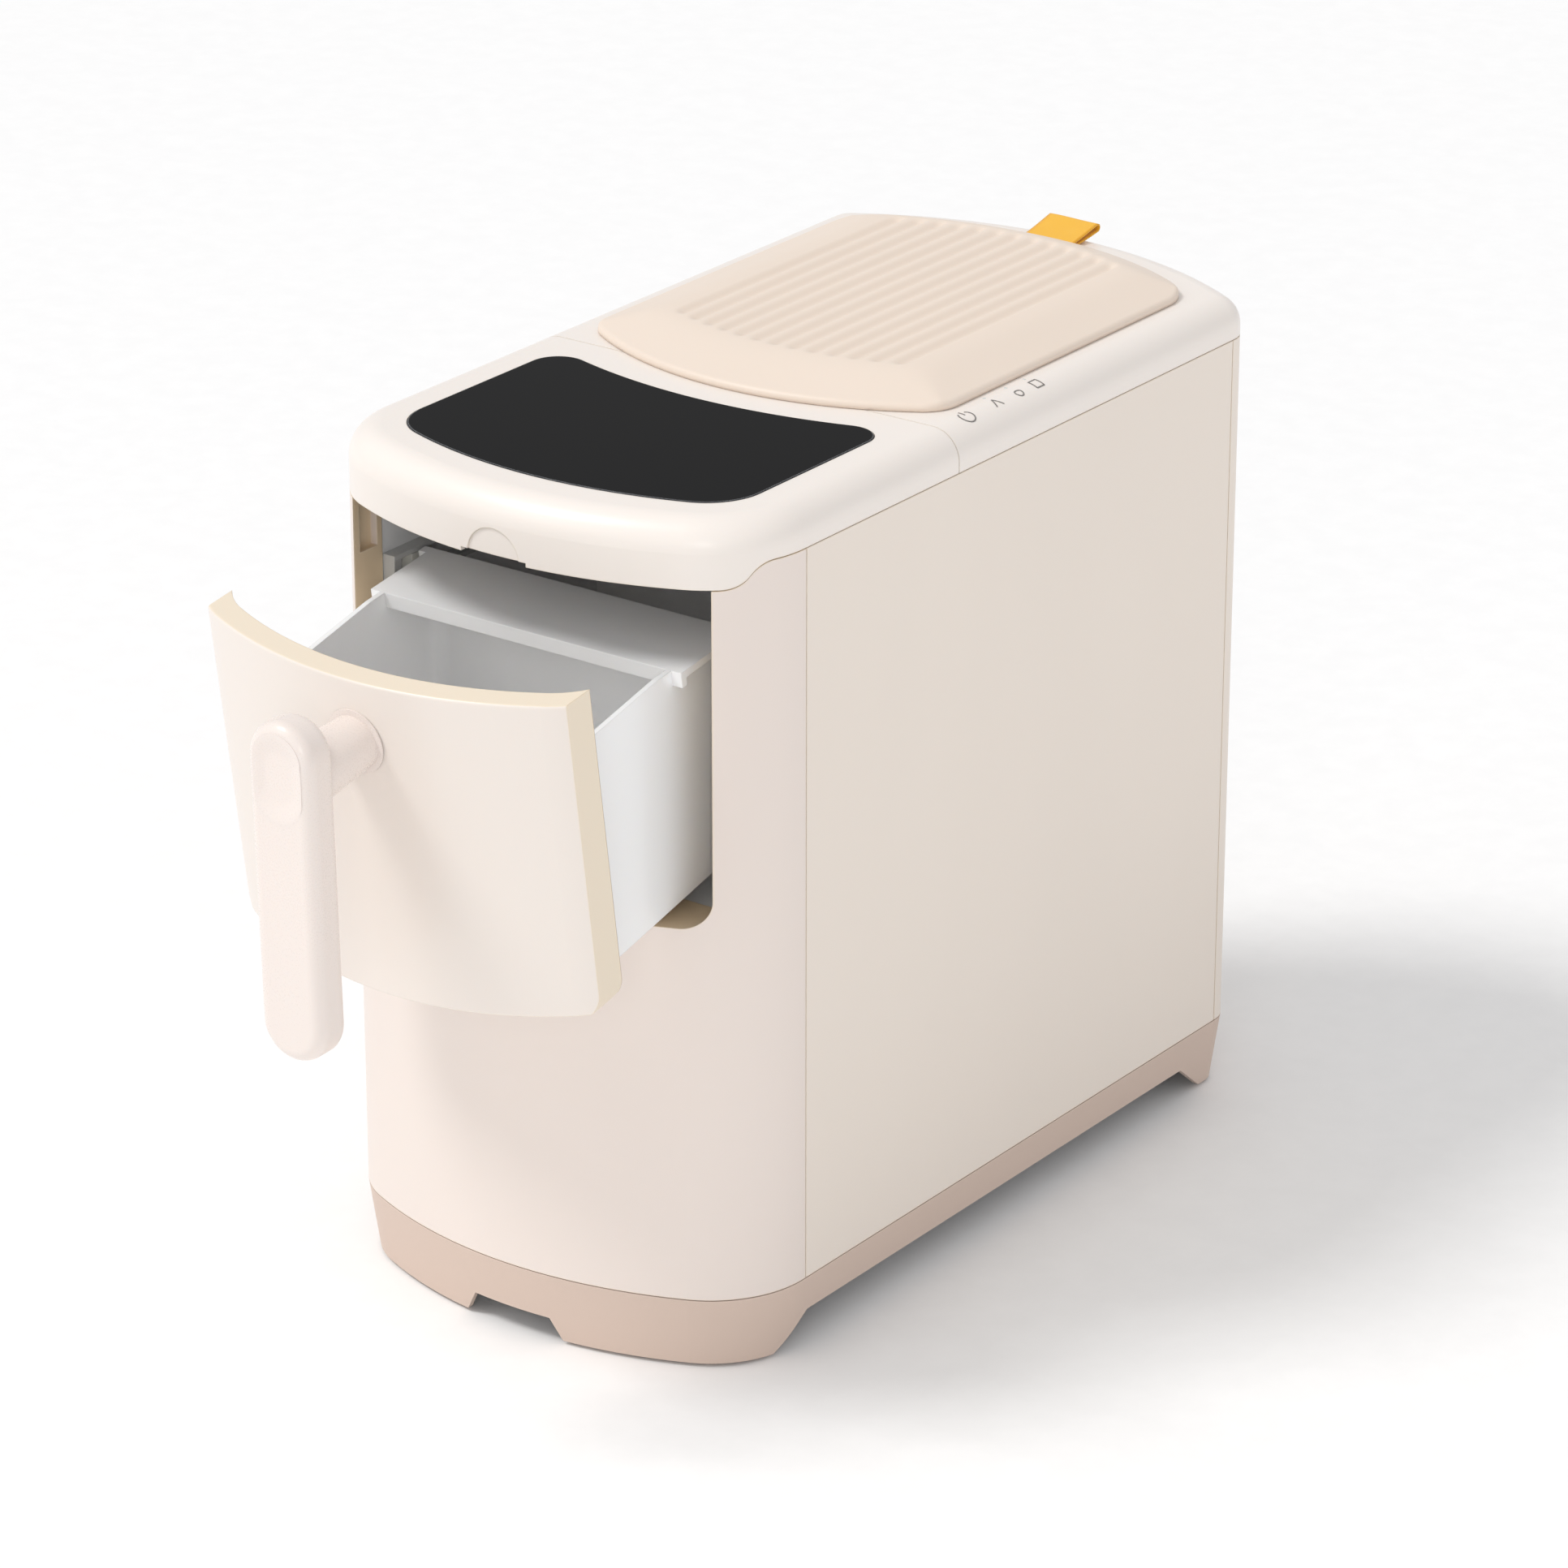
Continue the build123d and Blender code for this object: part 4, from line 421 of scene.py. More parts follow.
def merged(parts):
    """One list of vertices and one of faces out of several pairs of them."""
    verts, faces = [], []
    for part_verts, part_faces in parts:
        base = len(verts)
        verts += part_verts
        faces += [tuple(base + i for i in face) for face in part_faces]
    return verts, faces


def band(start, end, count, closed=True):
    """Quads between two rows of vertices that start at the given numbers."""
    steps = range(count if closed else count - 1)
    return [(start + a, start + (a + 1) % count, end + (a + 1) % count, end + a) for a in steps]


def weld(obj, distance, towards=None):
    """Joins doubled vertices and turns the faces outwards, or towards a given direction."""
    bm = bmesh.new()
    bm.from_mesh(obj.data)
    bmesh.ops.remove_doubles(bm, verts=bm.verts, dist=distance)
    bmesh.ops.recalc_face_normals(bm, faces=bm.faces)
    if towards is not None:
        flattest = max(bm.faces, key=lambda f: abs(f.normal.dot(towards)))
        if flattest.normal.dot(towards) < 0:
            bmesh.ops.reverse_faces(bm, faces=bm.faces)
    bm.to_mesh(obj.data)
    bm.free()


def thicken(obj, name, thickness, offset):
    """Gives a sheet its wall."""
    wall = obj.modifiers.new(name, "SOLIDIFY")
    wall.thickness = thickness
    wall.offset = offset


def smoothstep(a, b, v):
    t = np.clip((v - a) / (b - a), 0.0, 1.0)
    return t * t * (3 - 2 * t)


# ---------------------------------------------------------------- tank lid

LID_LOW, LID_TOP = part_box("tank_lid")
COVER_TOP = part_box("top_rear_cover")[1].z
LID_EDGE_LOW = COVER_TOP + 0.3 * MM
LID_WALL = 2.0 * MM
LID_ROWS = 190
TURN_COLUMNS = 30
COLUMNS_PER_GROOVE = 10
RIM = 3.0 * MM
LIP_R = 1.7 * MM
CROWN = 0.35 * MM
SHOULDER_FRONT, SHOULDER_REAR, SHOULDER_SIDE = 26 * MM, 17 * MM, 20 * MM
SHOULDER_BLEND = 7.0  # how squarely front, rear and side shoulders meet
CREST = 0.09  # how softly a shoulder turns into the top, as a share of its width
GROOVES, GROOVE_PITCH, GROOVE_DEPTH = 13, 8.6 * MM, 1.7 * MM
GROOVE_FRONT, GROOVE_REAR, GROOVE_FADE = 30 * MM, 19 * MM, 5 * MM
HALF = LID_TOP.x
BOW_FRONT, BOW_REAR = 27 * MM, 26 * MM
R_FRONT, R_REAR = 16 * MM, 22 * MM
NOTCH_GAP, NOTCH_RISE = 0.4 * MM, 1.9 * MM
THINNEST = 0.1 * MM


def end_arcs(bow, corner):
    """Radius of an end's bow, and the centre of the corner arc that joins it to the side."""
    radius = (HALF**2 + bow**2) / (2 * bow)
    cx = HALF - corner
    return radius, cx, radius - math.sqrt((radius - corner) ** 2 - cx**2)


def end_curve(x, bow, corner):
    """How far the lid's end line is behind its middle at x: a bow with rounded corners."""
    radius, cx, cy = end_arcs(bow, corner)
    touch = cx * radius / (radius - corner)
    ax = np.abs(x)
    arc = radius - np.sqrt(radius**2 - np.minimum(ax, touch) ** 2)
    turn = cy - np.sqrt(np.maximum(corner**2 - np.maximum(ax - cx, 0.0) ** 2, 0.0))
    return np.where(ax <= touch, arc, turn)


def bow_only(x, bow):
    """The same line without its rounded corners."""
    radius = (HALF**2 + bow**2) / (2 * bow)
    return radius - np.sqrt(radius**2 - x**2)


def end_distance(x, depth, bow, corner):
    """Distance inside an end of the lid: to its bow, or to the corner arc next to it."""
    radius, cx, cy = end_arcs(bow, corner)
    bowed = radius - np.hypot(x, depth - radius)
    out_x, out_y = np.abs(x) - cx, cy - depth
    angle = np.arctan2(out_y, out_x)
    turning = (angle >= 0.0) & (angle <= math.atan2(radius - cy, cx))
    return np.where(turning, corner - np.hypot(out_x, out_y), bowed)


def lid_columns():
    """Column positions: crowded at the rounded sides, evenly spaced over the grooves."""
    turn = [HALF - R_FRONT * (1 - math.cos(a)) for a in np.linspace(0.0, math.pi / 2, TURN_COLUMNS)]
    inner = np.arange(0.0, HALF - R_FRONT, GROOVE_PITCH / COLUMNS_PER_GROOVE)
    side = sorted(set(round(v, 7) for v in list(inner) + turn))
    return np.array([-v for v in reversed(side[1:])] + side)


def lid_rows():
    """Shares of the way from front to rear, closer together at both ends."""
    t = np.linspace(0.0, 1.0, LID_ROWS)
    t = 0.5 - 0.5 * np.cos(math.pi * t) * (1 - 0.35 * np.sin(math.pi * t) ** 2)
    return (t - t[0]) / (t[-1] - t[0])


def shoulder_share(from_front, from_rear, from_side):
    """0 at the rim to 1 and more on the top: the three shoulders blended into one."""
    parts = [from_front / SHOULDER_FRONT, from_rear / SHOULDER_REAR, from_side / SHOULDER_SIDE]
    power = sum(np.maximum(p, 0.02) ** -SHOULDER_BLEND for p in parts)
    return np.minimum(power ** (-1 / SHOULDER_BLEND), 1.3)


def groove_depth(x, from_front, from_rear):
    """Depth of the grooves: round hollows that fade out before the shoulders."""
    middle = (GROOVES - 1) / 2 * GROOVE_PITCH
    phase = (x + middle) / GROOVE_PITCH
    hollow = np.clip(0.5 + 0.5 * np.cos(2 * math.pi * phase), 0.0, 1.0) ** 1.4
    hollow *= smoothstep(middle + 0.52 * GROOVE_PITCH, middle + 0.42 * GROOVE_PITCH, np.abs(x))
    run = np.minimum((from_front - GROOVE_FRONT) / GROOVE_FADE, (from_rear - GROOVE_REAR) / GROOVE_FADE)
    return GROOVE_DEPTH * hollow * smoothstep(0.0, 1.0, run)


def lid_surface():
    """Heights of the lid's top over a grid that fits its outline."""
    xs, t = lid_columns(), lid_rows()
    front = LID_LOW.y + end_curve(xs, BOW_FRONT, R_FRONT)
    rear = LID_TOP.y - end_curve(xs, BOW_REAR, R_REAR)
    x = np.repeat(xs[:, None], len(t), 1)
    y = front[:, None] + (rear - front)[:, None] * t[None, :]
    from_front = y - (LID_LOW.y + bow_only(x, BOW_FRONT))
    from_rear = (LID_TOP.y - bow_only(x, BOW_REAR)) - y
    from_side = HALF - np.abs(x)
    share = shoulder_share(from_front, from_rear, from_side)
    rise = np.minimum((share - CREST * np.log1p(np.exp((share - 1.0) / CREST))) / 0.995, 1.0)
    z = LID_EDGE_LOW + RIM + (LID_TOP.z - LID_EDGE_LOW - RIM) * rise
    crown = CROWN * (1 - (x / HALF) ** 2) * smoothstep(0.9, 1.3, share)
    z = np.minimum(z + crown - CROWN, LID_TOP.z)
    inside_front = end_distance(x, y - LID_LOW.y, BOW_FRONT, R_FRONT)
    inside_rear = end_distance(x, LID_TOP.y - y, BOW_REAR, R_REAR)
    near = np.minimum(from_side, np.minimum(inside_front, inside_rear))
    inside = np.clip(np.maximum(near, 0.0) / LIP_R, 0.0, 1.0)
    z -= LIP_R * (1 - np.sqrt(1 - (1 - inside) ** 2))
    z -= groove_depth(x, from_front, from_rear)
    return x, y, z


def make_lid():
    """The ribbed lid: its top surface and a rim, notched for the ribbon, with a wall inside."""
    x, y, z = lid_surface()
    columns, rows = x.shape
    verts = [Vector(p) for p in zip(x.ravel(), y.ravel(), z.ravel())]
    faces = []
    for c in range(columns - 1):
        faces += [(a, d, e, b) for a, b, e, d in band(c * rows, (c + 1) * rows, rows, False)]
    ring = [c * rows for c in range(columns)]
    ring += [(columns - 1) * rows + r for r in range(1, rows)]
    ring += [c * rows + rows - 1 for c in range(columns - 2, -1, -1)]
    ring += [r for r in range(rows - 2, 0, -1)]
    below = []
    for i in ring:
        v = verts[i]
        in_notch = abs(v.x) < TAB_HALF + NOTCH_GAP and v.y > 0
        low = LID_EDGE_LOW + (NOTCH_RISE if in_notch else 0.0)
        below.append(len(verts))
        verts.append(Vector((v.x, v.y, min(low, v.z - THINNEST))))
    count = len(ring)
    faces += [(ring[i], below[i], below[(i + 1) % count], ring[(i + 1) % count]) for i in range(count)]
    lid = mesh_object("tank_lid_shell", verts, faces)
    weld(lid, 0.02 * MM)
    thicken(lid, "wall", LID_WALL, -1.0)
    return lid


PLUG_INSET, PLUG_CORNER_R, PLUG_WALL = 2.0 * MM, 9.8 * MM, 1.9 * MM
PLUG_FOOT, PLUG_FOOT_PULL = 0.6 * MM, 0.006
PLUG_BELOW_TOP = 5.5 * MM
CORNER_STEPS = 10


def rounded_rectangle(x0, x1, y0, y1, r):
    """Points round a rounded rectangle."""
    points = []
    centres = ((x1 - r, y1 - r, 0), (x0 + r, y1 - r, 90), (x0 + r, y0 + r, 180), (x1 - r, y0 + r, 270))
    for cx, cy, start in centres:
        for k in range(CORNER_STEPS + 1):
            a = math.radians(start + 90 * k / CORNER_STEPS)
            points.append((cx + r * math.cos(a), cy + r * math.sin(a)))
    return points


def make_plug_wall():
    """The wall under the lid that drops into the tank's mouth, drawn in a little at its foot."""
    lo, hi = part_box("lid_gasket")
    x1, y0, y1 = hi.x - PLUG_INSET, lo.y + PLUG_INSET, hi.y - PLUG_INSET
    middle_y = (y0 + y1) / 2
    outer = rounded_rectangle(-x1, x1, y0, y1, PLUG_CORNER_R)
    heights = (LID_LOW.z, LID_LOW.z + PLUG_FOOT, lo.z, hi.z, LID_TOP.z - PLUG_BELOW_TOP)
    verts, faces = [], []
    for k, h in enumerate(heights):
        pull = 1 - PLUG_FOOT_PULL if k == 0 else 1.0
        if k:
            faces += band(len(verts) - len(outer), len(verts), len(outer))
        verts += [(px * pull, (py - middle_y) * pull + middle_y, h) for px, py in outer]
    wall = mesh_object("tank_lid_plug", verts, faces)
    thicken(wall, "wall", PLUG_WALL, -1.0)
    return wall


# ---------------------------------------------------------------- ribbon tab

TAB_LO, TAB_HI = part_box("pull_tab")
TAB_HALF = TAB_HI.x
RIBBON_HALF = TAB_HALF - 0.3 * MM
RIBBON_THICK = 0.55 * MM
FOLD_R = 1.45 * MM
LOWER_LAYER, UPPER_LAYER = 0.6 * RIBBON_THICK, 1.8 * RIBBON_THICK
SWELL_SPAN, SWELL_FULL = 0.62, 0.684  # part of a cosine wave that the strip rises along, and its height
FLAT_POINTS, RISE_POINTS, ACROSS_POINTS = 14, 22, 17


def swell(t):
    """How far the strip has risen at a share t of its free length."""
    return 0.5 - 0.5 * math.cos(math.pi * t * SWELL_SPAN)


def ribbon_line():
    """Side view of the strip: out along the cover, up to the fold, and back over itself."""
    root_y, tip_y, edge_y = TAB_LO.y, TAB_HI.y, LID_TOP.y
    low_z, tip_z = TAB_LO.z, TAB_HI.z
    run = tip_y - edge_y - FOLD_R
    rise = tip_z - low_z - RIBBON_THICK - 2 * FOLD_R
    line = []
    for t in np.linspace(0.0, 1.0, FLAT_POINTS):
        line.append((root_y + (edge_y - root_y) * t, low_z + LOWER_LAYER))
    for t in np.linspace(0.08, 1.0, RISE_POINTS):
        line.append((edge_y + run * t, low_z + LOWER_LAYER + rise * (swell(t) / SWELL_FULL)))
    cy, cz = line[-1][0], line[-1][1] + FOLD_R
    for a in np.linspace(-75, 95, FLAT_POINTS):
        line.append((cy + FOLD_R * math.cos(math.radians(a)), cz + FOLD_R * math.sin(math.radians(a))))
    top_y, top_z = line[-1]
    for t in np.linspace(0.05, 1.0, RISE_POINTS):
        s = 1 - t
        back = low_z + UPPER_LAYER + rise * swell(s) / SWELL_FULL
        lift = (top_z - (low_z + UPPER_LAYER + rise)) * (s**0.6)
        line.append((edge_y + (top_y - edge_y) * s, back + lift))
    for t in np.linspace(0.08, 1.0, FLAT_POINTS):
        line.append((edge_y + (root_y - edge_y) * t, low_z + UPPER_LAYER))
    return np.array(line)


def make_ribbon():
    """One strip folded back on itself: both ends go under the lid, the fold stands up behind it."""
    line = ribbon_line()
    length = float(np.hypot(*np.diff(line, axis=0).T).sum())
    across = np.linspace(-1.0, 1.0, ACROSS_POINTS)
    verts, uvs, faces = [], [], []
    travelled = 0.0
    for k, (py, pz) in enumerate(line):
        if k:
            travelled += float(np.hypot(*(line[k] - line[k - 1])))
            faces += band(len(verts) - ACROSS_POINTS, len(verts), ACROSS_POINTS, False)
        free = float(smoothstep(LID_TOP.y, TAB_HI.y, py))
        for a in across:
            curl = 0.25 * MM * free * (a * a) + 0.18 * MM * free * math.sin(2.3 * a + 0.7)
            verts.append((a * RIBBON_HALF, py, pz - curl))
            uvs.append((a * TAB_HALF / MM, travelled / MM))
    ribbon = mesh_object("pull_ribbon", verts, faces)
    layer = ribbon.data.uv_layers.new(name="strip")
    for loop in ribbon.data.loops:
        layer.data[loop.index].uv = uvs[loop.vertex_index]
    thicken(ribbon, "cloth", RIBBON_THICK, 0.0)
    return ribbon, length


# ---------------------------------------------------------------- thumb pad

PAD_OVERLAP = 0.2 * MM
PAD_PROUD, PAD_HOLLOW, PAD_BANK = 0.41 * MM, 1.15 * MM, 5.6 * MM
PAD_SKIRT = 0.7 * MM
PAD_RINGS, PAD_AROUND = 26, 96
SHARP = math.radians(35)


def pad_axes(spread):
    """The recess's long axis, its side axis and the way out of it, from its points."""
    _, _, axes = np.linalg.svd(spread, full_matrices=False)
    along, side = axes[0], axes[1]
    along = along if along[2] > 0 else -along
    side = side if side[0] > 0 else -side
    out = np.cross(side, along)
    return along, side, out if out[1] < 0 else -out


def make_pad():
    """Oval dish that fills the grip's recess: a soft rim round a shallow hollow."""
    pts = np.array([v.co for v in NODES["thumb_pad"].data.vertices], float)
    middle = pts.mean(0)
    spread = pts - middle
    along, side, out = pad_axes(spread)
    half_long = (spread @ along).max() + PAD_OVERLAP
    half_wide = (spread @ side).max() + PAD_OVERLAP
    face = (spread @ out).max()
    verts, faces = [], []
    for k in range(PAD_RINGS + 1):
        r = k / PAD_RINGS
        if k:
            faces += band(len(verts) - PAD_AROUND, len(verts), PAD_AROUND)
        edge = (1 - r) * half_wide
        height = PAD_PROUD - PAD_HOLLOW * float(smoothstep(0.0, PAD_BANK, edge))
        for a in range(PAD_AROUND):
            angle = 2 * math.pi * a / PAD_AROUND
            ca, sa = math.cos(angle), math.sin(angle)
            shift = (half_long - half_wide) * r * (1 if sa > 0 else -1) * min(1.0, abs(sa) * 6)
            over, up = half_wide * r * ca, half_wide * r * sa + shift
            verts.append(tuple(middle + side * over + along * up + out * (face + height)))
    rim, skirt = len(verts) - PAD_AROUND, len(verts)
    verts += [tuple(Vector(v) - Vector(out) * PAD_SKIRT) for v in verts[rim:]]
    faces += band(rim, skirt, PAD_AROUND)
    pad = mesh_object("thumb_dish", verts, faces)
    weld(pad, 0.01 * MM, Vector(out))
    pad.data.set_sharp_from_angle(angle=SHARP)
    return pad


# ---------------------------------------------------------------- printed marks

COVER_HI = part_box("top_rear_cover")[1]
EDGE_R = 12 * MM
STROKE_STEP, STROKE_WIDTH, STROKE_LIFT = 0.4 * MM, 0.6 * MM, 0.12 * MM
MARK_U, MARK_HALF = 3.2 * MM, 2.3 * MM
KEY_Y, KEY_R = -20.4 * MM, 3.4 * MM
MARK_YS = (-1.0 * MM, 13.5 * MM, 26.0 * MM)
LAMP_U, LAMP_R, LAMP_POINTS = MARK_U - 5.6 * MM, 0.75 * MM, 28
LAMP_RINGS = ((0.6, 0.09 * MM), (0.9, 0.05 * MM), (1.0, 0.0))  # share of the radius, and height
LAMP_CROWN = 0.1 * MM


def on_shoulder(u, y, lift):
    """Point on the cover's rounded right edge: u runs down round it from the flat top."""
    centre_x, centre_z, reach = COVER_HI.x - EDGE_R, COVER_HI.z - EDGE_R, EDGE_R + lift
    if u < 0:
        return (centre_x + u, y, COVER_HI.z + lift)
    angle = u / EDGE_R
    return (centre_x + reach * math.sin(angle), y, centre_z + reach * math.cos(angle))


def ink():
    """Pad-printed grey ink, slightly broken at its edges."""
    m = Mat("printed_ink")
    speck = m.noise(1500.0, 3.0)
    m.colour(m.mix(m.remap(speck, 0.4, 0.7, 0.0, 0.5), srgb(120, 116, 113), srgb(168, 163, 159)))
    m.roughness(m.remap(speck, 0.3, 0.7, 0.42, 0.58))
    return m.material


def lamp_lens(name, colour):
    """Small frosted lamp window, unlit."""
    m = Mat(name)
    frost = m.noise(900.0, 3.0)
    m.colour(m.mix(m.remap(frost, 0.3, 0.7, 0.0, 0.4), colour, srgb(240, 240, 238)))
    m.roughness(m.remap(frost, 0.3, 0.7, 0.25, 0.45))
    m.put(Subsurface_Weight=0.2, Subsurface_Scale=2 * MM, Coat_Weight=0.3)
    return m.material


def stroke(points, closed=False):
    """Flat line of ink through points given as (u, y) on the cover's rounded side."""
    corners = [Vector(p) for p in points]
    ends = corners[1:] + corners[:1] if closed else corners[1:]
    pts = []
    for a, b in zip(corners, ends):
        steps = max(1, math.ceil((b - a).length / STROKE_STEP))
        pts += [a.lerp(b, k / steps) for k in range(steps)]
    if not closed:
        pts.append(corners[-1])
    n = len(pts)
    verts, faces = [], []
    for i, p in enumerate(pts):
        before = pts[i - 1] if (i > 0 or closed) else p
        after = pts[(i + 1) % n] if (i < n - 1 or closed) else p
        direction = (after - before).normalized()
        normal = Vector((-direction.y, direction.x))
        for s in (-0.5, 0.5):
            q = p + normal * STROKE_WIDTH * s
            verts.append(on_shoulder(q.x, q.y, STROKE_LIFT))
    for i in range(n if closed else n - 1):
        j = (i + 1) % n
        faces.append((2 * i, 2 * j, 2 * j + 1, 2 * i + 1))
    return verts, faces


def key_ring():
    """Points of an open ring, its gap towards the lid."""
    start, end, steps = 215, 505, 40
    angles = [math.radians(start + (end - start) * k / steps) for k in range(steps + 1)]
    return [(MARK_U + KEY_R * math.cos(a), KEY_Y + KEY_R * math.sin(a)) for a in angles]


def pictograms():
    """Outlines of a chevron, a drop and a box, each with True if it is closed."""
    near, far = MARK_U - MARK_HALF, MARK_U + MARK_HALF
    run_y, water_y, full_y = MARK_YS
    chevron = [(far, run_y + MARK_HALF), (near, run_y), (far, run_y - MARK_HALF)]
    drop = []
    for a in np.linspace(0, 2 * math.pi, 26)[:-1]:
        point = 0.35 * MARK_HALF * (1 + math.cos(a)) ** 2 * 0.5
        drop_u = MARK_U - MARK_HALF * 1.1 * math.cos(a) + point
        drop.append((drop_u, water_y + MARK_HALF * 0.85 * math.sin(a)))
    low, high = full_y - MARK_HALF, full_y + MARK_HALF
    box = [(near, low), (near, high), (far, high), (far, low)]
    return (chevron, False), (drop, True), (box, True)


def make_marks():
    """A key ring with a tick, and three plain pictograms: running, water low, bin full."""
    parts = [stroke(key_ring())]
    parts.append(stroke([(MARK_U - 4.1 * MM, KEY_Y), (MARK_U - 0.9 * MM, KEY_Y)]))
    parts += [stroke(points, closed) for points, closed in pictograms()]
    marks = mesh_object("printed_marks", *merged(parts), False)
    bm = bmesh.new()
    bm.from_mesh(marks.data)
    for face in bm.faces:
        if face.normal.x + face.normal.z < 0:
            face.normal_flip()
    bm.to_mesh(marks.data)
    bm.free()
    marks.data.materials.append(ink())
    return marks


def make_lamp(number, y):
    """A small domed lens on the cover's shoulder."""
    n = LAMP_POINTS
    verts = [on_shoulder(LAMP_U, y, LAMP_CROWN)]
    for share, lift in LAMP_RINGS:
        for a in range(n):
            angle = 2 * math.pi * a / n
            du, dy = LAMP_R * share * math.cos(angle), LAMP_R * share * math.sin(angle)
            verts.append(on_shoulder(LAMP_U + du, y + dy, lift))
    faces = [(0, 1 + a, 1 + (a + 1) % n) for a in range(n)]
    for ring in range(len(LAMP_RINGS) - 1):
        b, c = 1 + ring * n, 1 + (ring + 1) * n
        faces += [(b + a, c + a, c + (a + 1) % n, b + (a + 1) % n) for a in range(n)]
    lamp = mesh_object(f"status_lamp_{number}", verts, faces)
    lamp.data.materials.append(lamp_lens(f"lamp_lens_{number}", srgb(214, 216, 214)))
    return lamp


# ---------------------------------------------------------------- rear screws


SCREW_R, SCREW_SINK = 3.5 * MM, 0.5 * MM
SCREW_POINTS, SCREW_RINGS = 40, 12
DOME = 0.72  # share of its height that the head loses towards its edge
CROSS_HALF, CROSS_REACH, CROSS_DEPTH = 0.42 * MM, 1.9 * MM, 0.9 * MM


def screw_head(cx, cz, base_y, face_y):
    """One domed head with a cross recess, facing the rear."""
    n = SCREW_POINTS
    circle = [(math.cos(2 * math.pi * a / n), math.sin(2 * math.pi * a / n)) for a in range(n)]
    verts, faces = [], []
    for k, r in enumerate(np.linspace(0.0, 1.0, SCREW_RINGS + 1)):
        if k:
            faces += [(a, d, c, b) for a, b, c, d in band(len(verts) - n, len(verts), n)]
        for ca, sa in circle:
            dx, dz = SCREW_R * r * ca, SCREW_R * r * sa
            in_cross = min(abs(dx), abs(dz)) < CROSS_HALF and max(abs(dx), abs(dz)) < CROSS_REACH
            cut = CROSS_DEPTH if in_cross else 0.0
            verts.append((cx + dx, base_y + (face_y - base_y) * (1 - DOME * r**3) - cut, cz + dz))
    rim, foot = len(verts) - n, len(verts)
    verts += [(cx + SCREW_R * ca, base_y - SCREW_SINK, cz + SCREW_R * sa) for ca, sa in circle]
    faces += [(a, d, c, b) for a, b, c, d in band(rim, foot, n)]
    return verts, faces


def make_screw_heads():
    """Domed heads with a cross recess, one for each CAD head."""
    lo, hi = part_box("rear_screws")
    pts = np.array([v.co for v in NODES["rear_screws"].data.vertices], float)
    heads = []
    for sx in (-1, 1):
        side = pts[pts[:, 0] * sx > 0]
        for z in (lo.z + SCREW_R, (lo.z + hi.z) / 2, hi.z - SCREW_R):
            own = side[np.abs(side[:, 2] - z) < 5 * MM]
            cx = (own[:, 0].max() + own[:, 0].min()) / 2
            heads.append(screw_head(cx, z, own[:, 1].min(), own[:, 1].max()))
    obj = mesh_object("rear_screw_heads", *merged(heads))
    weld(obj, 0.01 * MM)
    obj.data.set_sharp_from_angle(angle=SHARP)
    return obj


# ---------------------------------------------------------------- pieces

lid = dress(make_lid(), "lid_cream")
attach(lid, "lid")
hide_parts("tank_lid")

plug_wall = dress(make_plug_wall(), "lid_cream")
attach(plug_wall, "lid")

ribbon, ribbon_length = make_ribbon()
dress(ribbon, "tab_fabric")
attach(ribbon, "lid")
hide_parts("pull_tab")

dish = dress(make_pad(), "pad_cream")
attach(dish, "drawer")
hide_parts("thumb_pad")

marks = make_marks()
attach(marks, "chassis")
for number, lamp_y in enumerate(MARK_YS, 1):
    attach(make_lamp(number, lamp_y), "chassis")

heads = dress(make_screw_heads(), "steel_small")
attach(heads, "chassis")
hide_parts("rear_screws")


# ---------------------------------------------------------------- stage, light, camera

FLOOR_HALF = 9.0
PAPER_DARK, PAPER_LIGHT = (0.96, 0.96, 0.96, 1.0), (0.98, 0.98, 0.98, 1.0)
SUN_POWER, SUN_SPREAD, SUN_WAY = 1.3, math.radians(17), Vector((0.5, 0.5, -1.0))
WORLD_COLOUR, WORLD_STRENGTH = (0.99, 0.99, 1.0, 1.0), 0.66
EXPOSURE = 0.02
CAMERA_PLACE = (1.36925, -1.89339, 1.14265)
CAMERA_DOWN, CAMERA_TURN = math.radians(22.75), math.radians(36.04)
CAMERA_LENS_MM, SENSOR_MM = 147.16, 36.0

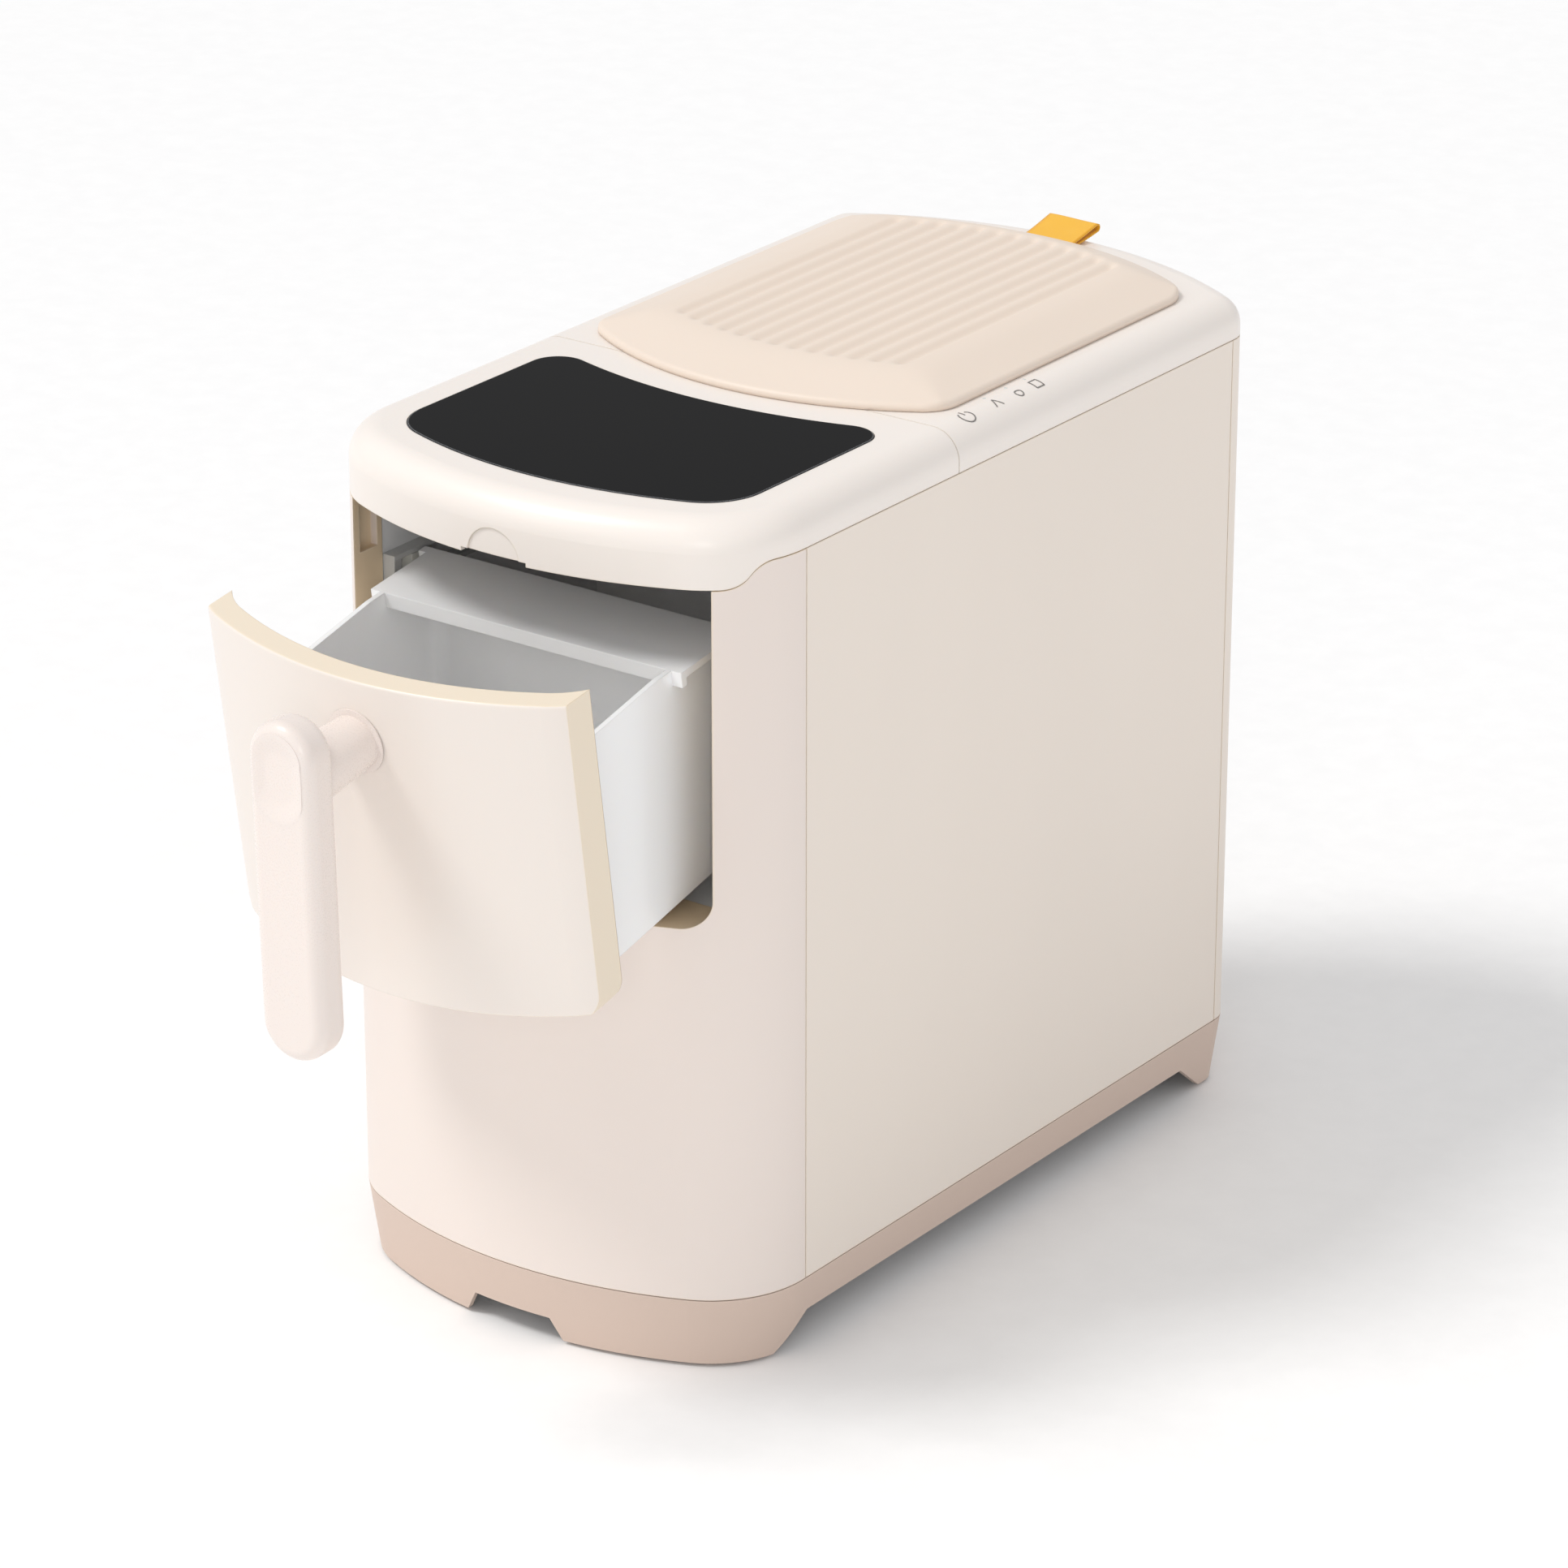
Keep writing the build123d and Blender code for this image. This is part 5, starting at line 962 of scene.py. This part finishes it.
def floor_material():
    """Pale seamless paper with the faintest fibre."""
    m = Mat("paper_floor")
    fibre = m.noise(60.0, 5.0, 0.6)
    m.colour(m.mix(m.remap(fibre, 0.3, 0.7, 0.0, 1.0), PAPER_DARK, PAPER_LIGHT))
    m.roughness(m.remap(fibre, 0.3, 0.7, 0.85, 0.95))
    m.normal(m.bump(fibre, 0.02, 0.5 * MM))
    m.put(Specular_IOR_Level=0.2)
    return m.material


def make_floor():
    h = FLOOR_HALF
    verts = [(-h, -h, 0), (h, -h, 0), (h, h, 0), (-h, h, 0)]
    floor = mesh_object("floor", verts, [(0, 1, 2, 3)], False)
    floor.data.materials.append(floor_material())


def placed(name, data, place, way):
    """Puts a light at a place, shining along a direction."""
    obj = bpy.data.objects.new(name, data)
    obj.location = place
    obj.rotation_euler = way.to_track_quat("-Z", "Y").to_euler()
    bpy.context.scene.collection.objects.link(obj)


def area_light(name, place, target, size, power, colour):
    data = bpy.data.lights.new(name, "AREA")
    data.size = size
    data.energy = power
    data.color = colour
    placed(name, data, place, Vector(target) - Vector(place))


def sun_light(name):
    data = bpy.data.lights.new(name, "SUN")
    data.energy = SUN_POWER
    data.angle = SUN_SPREAD
    data.color = (1.0, 0.99, 0.975)
    placed(name, data, (0, 0, 0), SUN_WAY)


def make_world():
    world = bpy.data.worlds.new("studio")
    bpy.context.scene.world = world
    world.use_nodes = True
    inputs = world.node_tree.nodes["Background"].inputs
    inputs["Color"].default_value = WORLD_COLOUR
    inputs["Strength"].default_value = WORLD_STRENGTH
    bpy.context.scene.view_settings.view_transform = "Standard"
    bpy.context.scene.view_settings.exposure = EXPOSURE


def make_camera():
    """The camera at the photograph's viewing angle."""
    data = bpy.data.cameras.new("camera")
    data.lens = CAMERA_LENS_MM
    data.sensor_width = SENSOR_MM
    data.clip_end = 50.0
    camera = bpy.data.objects.new("camera", data)
    camera.location = CAMERA_PLACE
    camera.rotation_euler = (math.radians(90) - CAMERA_DOWN, 0.0, CAMERA_TURN)
    bpy.context.scene.collection.objects.link(camera)
    bpy.context.scene.camera = camera


make_floor()
sun_light("sky_panel")
area_light("key", (-1.2, -2.3, 1.7), (0, 0, 0.2), 0.9, 2.5, (1.0, 0.985, 0.965))
area_light("fill", (1.2, -2.0, 1.0), (0, -0.1, 0.25), 0.7, 5.0, (1.0, 0.995, 0.985))
make_world()
make_camera()
